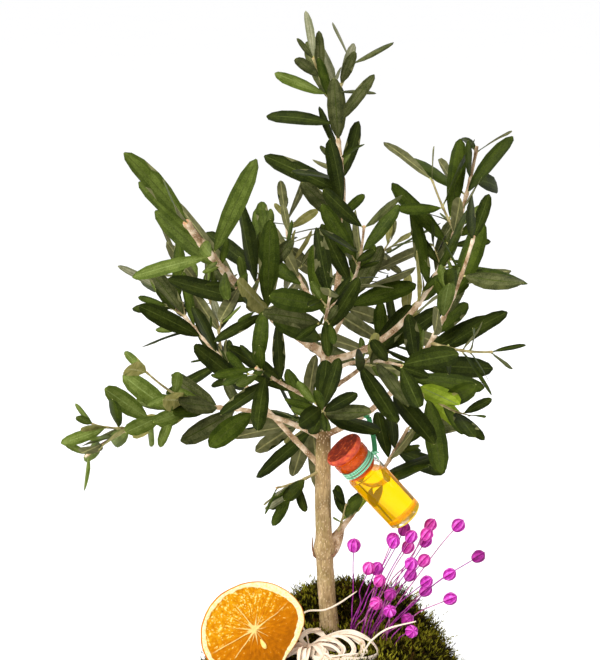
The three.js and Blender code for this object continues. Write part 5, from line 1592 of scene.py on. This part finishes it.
def sliceShape():
    s = sliceSet
    half, size = s["thickness"] / 2, s["radius"]
    shares = np.linspace(0, 1, s["rings"])[1:]
    face = [(size * share, half) for share in shares[:-1]] + [(size, half - 0.6)]
    back = [(r, -z) for r, z in face[::-1]]
    disc = spun([(0, half)] + face + [(size + 0.15, 0)] + back + [(0, -half)], s["steps"])
    layers = {name: disc.verts.layers.float.new(name) for name in sliceTraits}
    middle = Vector((-0.6, 0.7))
    for vert in disc.verts:
        angle = math.atan2(vert.co.y, vert.co.x)
        share = math.hypot(vert.co.x, vert.co.y) / size
        spot = Vector((math.cos(angle), math.sin(angle), 0))
        inside = 1 - (s["pith"] + 1.8 * noise.noise(spot * 1.3 + Vector((0, 0, 4)))
                      + 0.9 * noise.noise(spot * 7) + 1.3 * max(0, math.cos(angle - 0.8))) / size
        vein = 0
        for turn, strength, reach in sliceVeins:
            bent = math.radians(turn + 3 * noise.noise(Vector((turn, share * 3, 0))))
            across = abs(math.remainder(angle - bent, 2 * math.pi)) * share * size
            fade = min(max((reach - share) / 0.35, 0), 1)
            outer = 0.8 if share > 0.85 * inside else 0
            wide = s["membrane"] * (1 + 9 * strength * max(0, 0.26 - share) + outer)
            vein = max(vein, strength * fade * math.exp(-(across / wide) ** 2))
        coreGap = math.hypot(vert.co.x - middle.x, vert.co.y - middle.y)
        uneven = 1 + 0.8 * noise.noise(spot * 2.2 + Vector((2, 5, 0)))
        core = math.exp(-(coreGap * uneven / s["core"]) ** 4)
        vein = max(vein, core)
        flesh = 1 / (1 + math.exp((share - inside) * size * 3.2))
        flat = abs(vert.co.z) > half - 1
        vert[layers["flesh"]] = flesh
        vert[layers["vein"]] = vein
        # this trait grows towards the upper left, where the light falls: painted light on the flesh
        vert[layers["pale"]] = min(max(0.5 + (vert.co.y - vert.co.x * 0.7) / size, 0), 1)
        vert[layers["rind"]] = max(0, min(1, (share - 1 + s["rind"] / size) * 60)) if flat else 1
        if flat:
            sunk = flesh * (1 - vein) * (0.55 + 0.3 * noise.noise(vert.co * 0.5)) - 0.25 * core
            vert.co.z -= math.copysign(sunk, vert.co.z)
        outline = rimScale(angle) + 0.006 * noise.noise(spot * 6)
        vert.co.x *= outline
        vert.co.y *= outline
        vert.co.z += s["warp"] * noise.noise(spot * 0.9 + Vector((7, 0, 0))) * share ** 2
    mapRound(disc, "polar", lambda at: math.hypot(at.x, at.y) / size)
    pip = bmesh.new()
    bmesh.ops.create_uvsphere(pip, u_segments=14, v_segments=10, radius=1)
    for vert in pip.verts:
        vert.co.x *= 1 - pipSet["taper"] * vert.co.y
    bmesh.ops.scale(pip, vec=pipSet["size"], verts=pip.verts)
    pipTurn = Matrix.Rotation(math.radians(pipSet["turn"]), 3, "Z")
    bmesh.ops.rotate(pip, matrix=pipTurn, verts=pip.verts)
    bmesh.ops.translate(pip, vec=(*pipSet["at"], half - pipSet["sunk"]), verts=pip.verts)
    for panel in pip.faces:
        panel.smooth = True
    addTo(disc, pip, 1)
    bmesh.ops.transform(disc, matrix=slicePlace, verts=disc.verts)
    return disc


sliceMaterials = [makeMaterial("orange_flesh", fleshSkin),
                  makeMaterial("orange_pip", plainFace(rgb(240, 196, 96), rgb(255, 226, 150), 0.5))]
toPiece("orange_slice", sliceShape(), sliceMaterials, ("orange_slice",))


# Raffia: flat ribbons bound at one knot in front of the foot, looping out over the moss, a fan of
# short ones, and two loose ends
raffiaSet = {
    "lift": 3.4, "size": (3.4, 2.8, 3.2), "wide": (1.0, 2.4), "main": 3.0, "thick": 0.2,
    "cup": 0.12,
    "copies": (1, 2, 1, 2, 2, 1, 2), "stray": 2.2, "clear": 1.2, "endWide": 1.1, "endThick": 0.6,
    "fan": 13, "fanTurn": (185, 385), "fanLong": (15, 31), "fanWide": (1.6, 4.2),
    "fanArch": (1.5, 6.5), "fanClear": 1.4, "fanCup": 0.15, "wrapWide": 2.6, "wrapThick": 0.5,
    "seed": 17,
}
raffiaLoops = [
    [(-2.7, -30, 98), (5.2, -30, 101), (13.7, -31, 101.4), (23.2, -36, 97.5), (26, -43, 92.3),
     (15, -48, 91), (0, -45, 92)],
    [(-4, -31, 98), (3, -34, 97.5), (7, -40, 94), (3, -46, 91.4), (-6, -43, 92.4)],
    [(2, -30, 99.3), (10, -33, 97.5), (13, -39, 94), (9, -45, 91.4), (-1, -47, 91.4)],
    [(5, -29, 100), (17, -33, 97.5), (17, -40, 93), (11, -47, 91.2), (-4, -48, 91.2)],
    [(-17, -30, 98), (-11, -27, 101.5), (-4, -29, 99), (-4, -32, 96)],
    [(-18, -34, 95.5), (-21, -35.5, 93), (-15, -37.5, 92.5)],
    [(-10, -38, 94.5), (-10.5, -44, 91.8), (-5, -47, 91.2), (-3, -41, 93.5)],
]
raffiaEnds = [
    [(-14, -28, 100), (-18, -23, 107), (-13, -21, 111), (-3.5, -20.5, 111.6), (4.4, -20, 115.1),
     (15, -19.5, 122.3)],
    [(2, -46, 91.4), (16, -46, 91.6), (19, -46.5, 96.5), (23, -48.5, 103), (31.5, -52, 110.5),
     (47, -53, 115)],
]


def raffiaFibre(light):
    def build(place):
        strip = place.node("UVMap", {"uv_map": "strip"})
        fibres = cloud(stretched(strip, (26, 3, 1)), 1.0, 3)
        stains = cloud(place, 160, 2)
        tone = ramp(fibres, (0.28, rgb(170, 130, 98)), (0.42, light), (0.66, rgb(246, 232, 210)))
        return {
            "Base Color": blendColours(step(stains, 0.56, 0.72) * 0.5, tone, rgb(178, 138, 106)),
            "Roughness": 0.6 + fibres * 0.2,
            "Specular IOR Level": 0.15,
            "Normal": relief(fibres, 0.5, 0.25),
        }
    return build


def raffiaNest():
    r = raffiaSet
    dice = np.random.default_rng(r["seed"])
    knot = np.array((*raffiaKnot, float(mossHeight(*raffiaKnot)) + r["lift"]))
    whole = bmesh.new()
    for number, loop in enumerate(raffiaLoops):
        for copy in range(r["copies"][number]):
            points = np.array([knot, *loop, knot], float)
            stray = dice.normal(0, r["stray"], points.shape) * min(copy, 1)
            points = points + stray * np.array((1, 0.7, 0.5))
            path = smoothPath(points, 14 * len(points) // 2)
            floorZ = mossHeight(path[:, 0], path[:, 1]) + r["clear"]
            path[:, 2] = np.maximum(path[:, 2], floorZ)
            wide = dice.uniform(*r["wide"]) if copy else r["main"]
            lean = unit(np.array((dice.normal(0, 0.5), -0.8, 0.75 + dice.normal(0, 0.3))))
            cup = dice.uniform(-r["cup"], r["cup"])
            addTo(whole, ribbon(path, wide, r["thick"], lean, 0.8, cup), (number + copy) % 2)
    for number in range(r["fan"]):
        share = (number + dice.uniform(0.1, 0.9)) / r["fan"]
        turn = math.radians(r["fanTurn"][0] + share * (r["fanTurn"][1] - r["fanTurn"][0]))
        long, arch = dice.uniform(*r["fanLong"]), dice.uniform(*r["fanArch"])
        t = np.linspace(0, 1, 16)
        bend = turn + dice.normal(0, 0.35) * t ** 2
        path = np.stack([knot[0] + long * t * np.cos(bend),
                         knot[1] + long * t * np.sin(bend), t], 1)
        lie = mossHeight(path[:, 0], path[:, 1]) + r["fanClear"]
        fall = (knot[2] - lie[0]) * (1 - t) ** 2
        path[:, 2] = lie + fall + arch * np.sin(math.pi * t) * (1 - 0.4 * t)
        lean = unit(np.array((dice.normal(0, 0.4), -0.75, 0.8)))
        wide, cup = dice.uniform(*r["fanWide"]), dice.uniform(-r["fanCup"], r["fanCup"])
        addTo(whole, ribbon(path, wide, r["thick"], lean, 0.55, cup), number % 2)
    for points in raffiaEnds:
        path = smoothPath([knot, *points], 60)
        addTo(whole, ribbon(path, r["endWide"], r["endThick"], np.array((0.1, -0.9, 0.4)), 0.6), 0)
    turn = np.linspace(0, 2 * math.pi, 21)
    x, y, z = r["size"]
    for lean in (-0.6, 0.5):
        wrap = knot + np.stack([0.45 * x * np.cos(turn) + lean * 2, 0.8 * y * np.sin(turn) + lean,
                                0.8 * z * np.cos(turn)], 1)
        addTo(whole, ribbon(wrap, r["wrapWide"], r["wrapThick"]), 1)
    return whole


raffiaMaterials = [makeMaterial("raffia_pale", raffiaFibre(rgb(238, 220, 196))),
                   makeMaterial("raffia_warm", raffiaFibre(rgb(224, 196, 168)))]
toPiece("raffia", raffiaNest(), raffiaMaterials, ("raffia",))


# Dyed flax: bunched thin stems, each with one ribbed, pointed pod. A row gives a foot and its
# pods' places from it.
flaxSet = {"pod": 3.7, "tall": 1.12, "stem": 0.35, "bow": -0.1, "sink": 2.0, "lift": 0.6,
           "stray": 1.6, "wave": 1.0, "seams": 6, "perSeam": 5, "groove": 0.12, "crease": 0.06,
           "dent": 0.05, "tints": (0.5, 0.3, 0.2), "rings": 22, "seed": 5}
flaxSprays = [
    ((12.2, -13), [(1, -5, 57), (9, -17, 47), (14, -7, 44), (15, -21, 41), (13, -25, 29)]),
    ((17.9, -16), [(17, -8, 62.5), (24, 5, 65), (17, -23, 65), (27, -15, 66), (26, -1, 56),
                   (15, -27, 36)]),
    ((23.6, -12), [(33, -3, 69), (30, -19, 68), (31, 7, 57), (29, -13, 51), (21, -27, 53),
                   (22, -1, 39), (30, -21, 41)]),
    ((29.4, -14), [(43, -1, 68), (54, -9, 52), (37, -21, 45), (38, -15, 29), (25, 1, 29)]),
    ((33.7, -20), [(-1, -25, 29), (9, -21, 23), (11, -27, 18)]),
]


def dyed(dark, base, light):
    def build(place):
        mottle = cloud(place, 380, 4)
        return {
            "Base Color": ramp(mottle, (0.3, dark), (0.5, base), (0.7, light)),
            "Roughness": 0.55,
            "Specular IOR Level": 0.15,
            "Normal": relief(mottle, 0.5, 0.35),
        }
    return build


def podShape(dice):
    f = flaxSet
    turns = f["seams"] * f["perSeam"]
    profile = [(math.sin(a) * (1 - 0.06 * math.sin(2 * a)), -math.cos(a))
               for a in np.linspace(0, math.pi, 15)]
    profile[0], profile[-1] = (0, -1), (0, 1.16)
    profile[-2] = (profile[-2][0] * 0.55, 1.03)
    pod = spun(profile, turns)
    for face in pod.faces:
        centre = face.calc_center_median()
        column = int((math.atan2(centre.y, centre.x) / (2 * math.pi) % 1) * turns) % f["perSeam"]
        face.material_index = 1 if column == 0 and abs(centre.z) < 0.97 else 2 * (column > 2)
    swell = 1 + dice.normal(0, 0.05)
    shift = Vector(dice.uniform(0, 50, 3))
    for vert in pod.verts:
        angle = math.atan2(vert.co.y, vert.co.x) / (2 * math.pi) * f["seams"]
        seam = abs(math.cos(math.pi * (angle - 0.1)))
        inset = f["groove"] * seam ** 6 + f["crease"] * (1 - seam) ** 4
        inset += f["dent"] * noise.noise(vert.co * 1.7 + shift)
        if math.hypot(vert.co.x, vert.co.y) > 0.2:
            vert.co.x *= (1 - inset) * swell
            vert.co.y *= (1 - inset) * swell
    bmesh.ops.scale(pod, vec=(f["pod"], f["pod"], f["pod"] * f["tall"]), verts=pod.verts)
    return pod


def flaxBunch():
    f = flaxSet
    dice = np.random.default_rng(f["seed"])
    pods, stems = bmesh.new(), bmesh.new()
    t = np.linspace(0, 1, f["rings"])[:, None]

    def stemRadius(i, angle):
        return f["stem"] * (1.15 - 0.35 * i / (f["rings"] - 1))

    for (footX, footY), offsets in flaxSprays:
        foot = np.array((footX, footY, float(mossHeight(footX, footY)) + f["lift"]))
        for offset in offsets:
            reach = np.array(offset, float)
            bow = np.array((f["bow"] * reach[0], f["bow"] * reach[1], 0))
            sunk = np.array((0, 0, f["sink"])) * (1 - t) ** 8
            path = foot + reach * t + bow * 4 * t * (1 - t) - sunk
            wave = np.sin(t * dice.uniform(7, 12) + dice.uniform(0, 6)) * np.sin(math.pi * t)
            path = path + wave * f["wave"] * dice.normal(0, 1, 3)
            path[:, :2] += (1 - t) ** 2 * dice.normal(0, f["stray"], 2)
            tint = int(dice.choice(3, p=f["tints"]))
            addTo(stems, tube(path[:-1], stemRadius, 6), 0 if dice.random() < 0.6 else 1)
            pod = podShape(dice)
            for face in pod.faces:
                face.material_index += tint * 3
            heading = Vector(unit(path[-1] - path[-3]))
            bmesh.ops.translate(pod, vec=(0, 0, f["pod"]), verts=pod.verts)
            laidAlong(pod, Vector(path[-1]) - heading * f["pod"], path[-1])
            addTo(pods, pod)
    return pods, stems


# Three dyes, each with its plain face, seam and lighter face, and two for the stems
podColours = [
    ("pod_magenta", (140, 20, 122), (176, 36, 156), (208, 70, 190)),
    ("pod_magenta_seam", (96, 8, 76), (126, 18, 102), (154, 36, 128)),
    ("pod_magenta_light", (178, 42, 158), (218, 78, 196), (241, 132, 223)),
    ("pod_pink", (168, 26, 126), (198, 46, 154), (222, 88, 182)),
    ("pod_pink_seam", (108, 10, 80), (138, 24, 106), (164, 48, 130)),
    ("pod_pink_light", (198, 52, 152), (227, 88, 184), (243, 138, 213)),
    ("pod_plum", (106, 16, 86), (146, 30, 124), (176, 54, 154)),
    ("pod_plum_seam", (76, 8, 60), (106, 16, 86), (132, 32, 110)),
    ("pod_plum_light", (126, 22, 104), (166, 42, 142), (196, 74, 172)),
]
stemColours = [
    ("flax_stem", (112, 24, 100), (152, 44, 140), (184, 84, 172)),
    ("flax_stem_pale", (150, 60, 120), (190, 100, 160), (216, 150, 190)),
]


def dyedMaterials(rows):
    return [makeMaterial(name, dyed(*(rgb(*tone) for tone in tones))) for name, *tones in rows]


flaxPods, flaxStems = flaxBunch()
toPiece("flax_pods", flaxPods, dyedMaterials(podColours), ("flax",))
toPiece("flax_stems", flaxStems, dyedMaterials(stemColours), ("flax",))
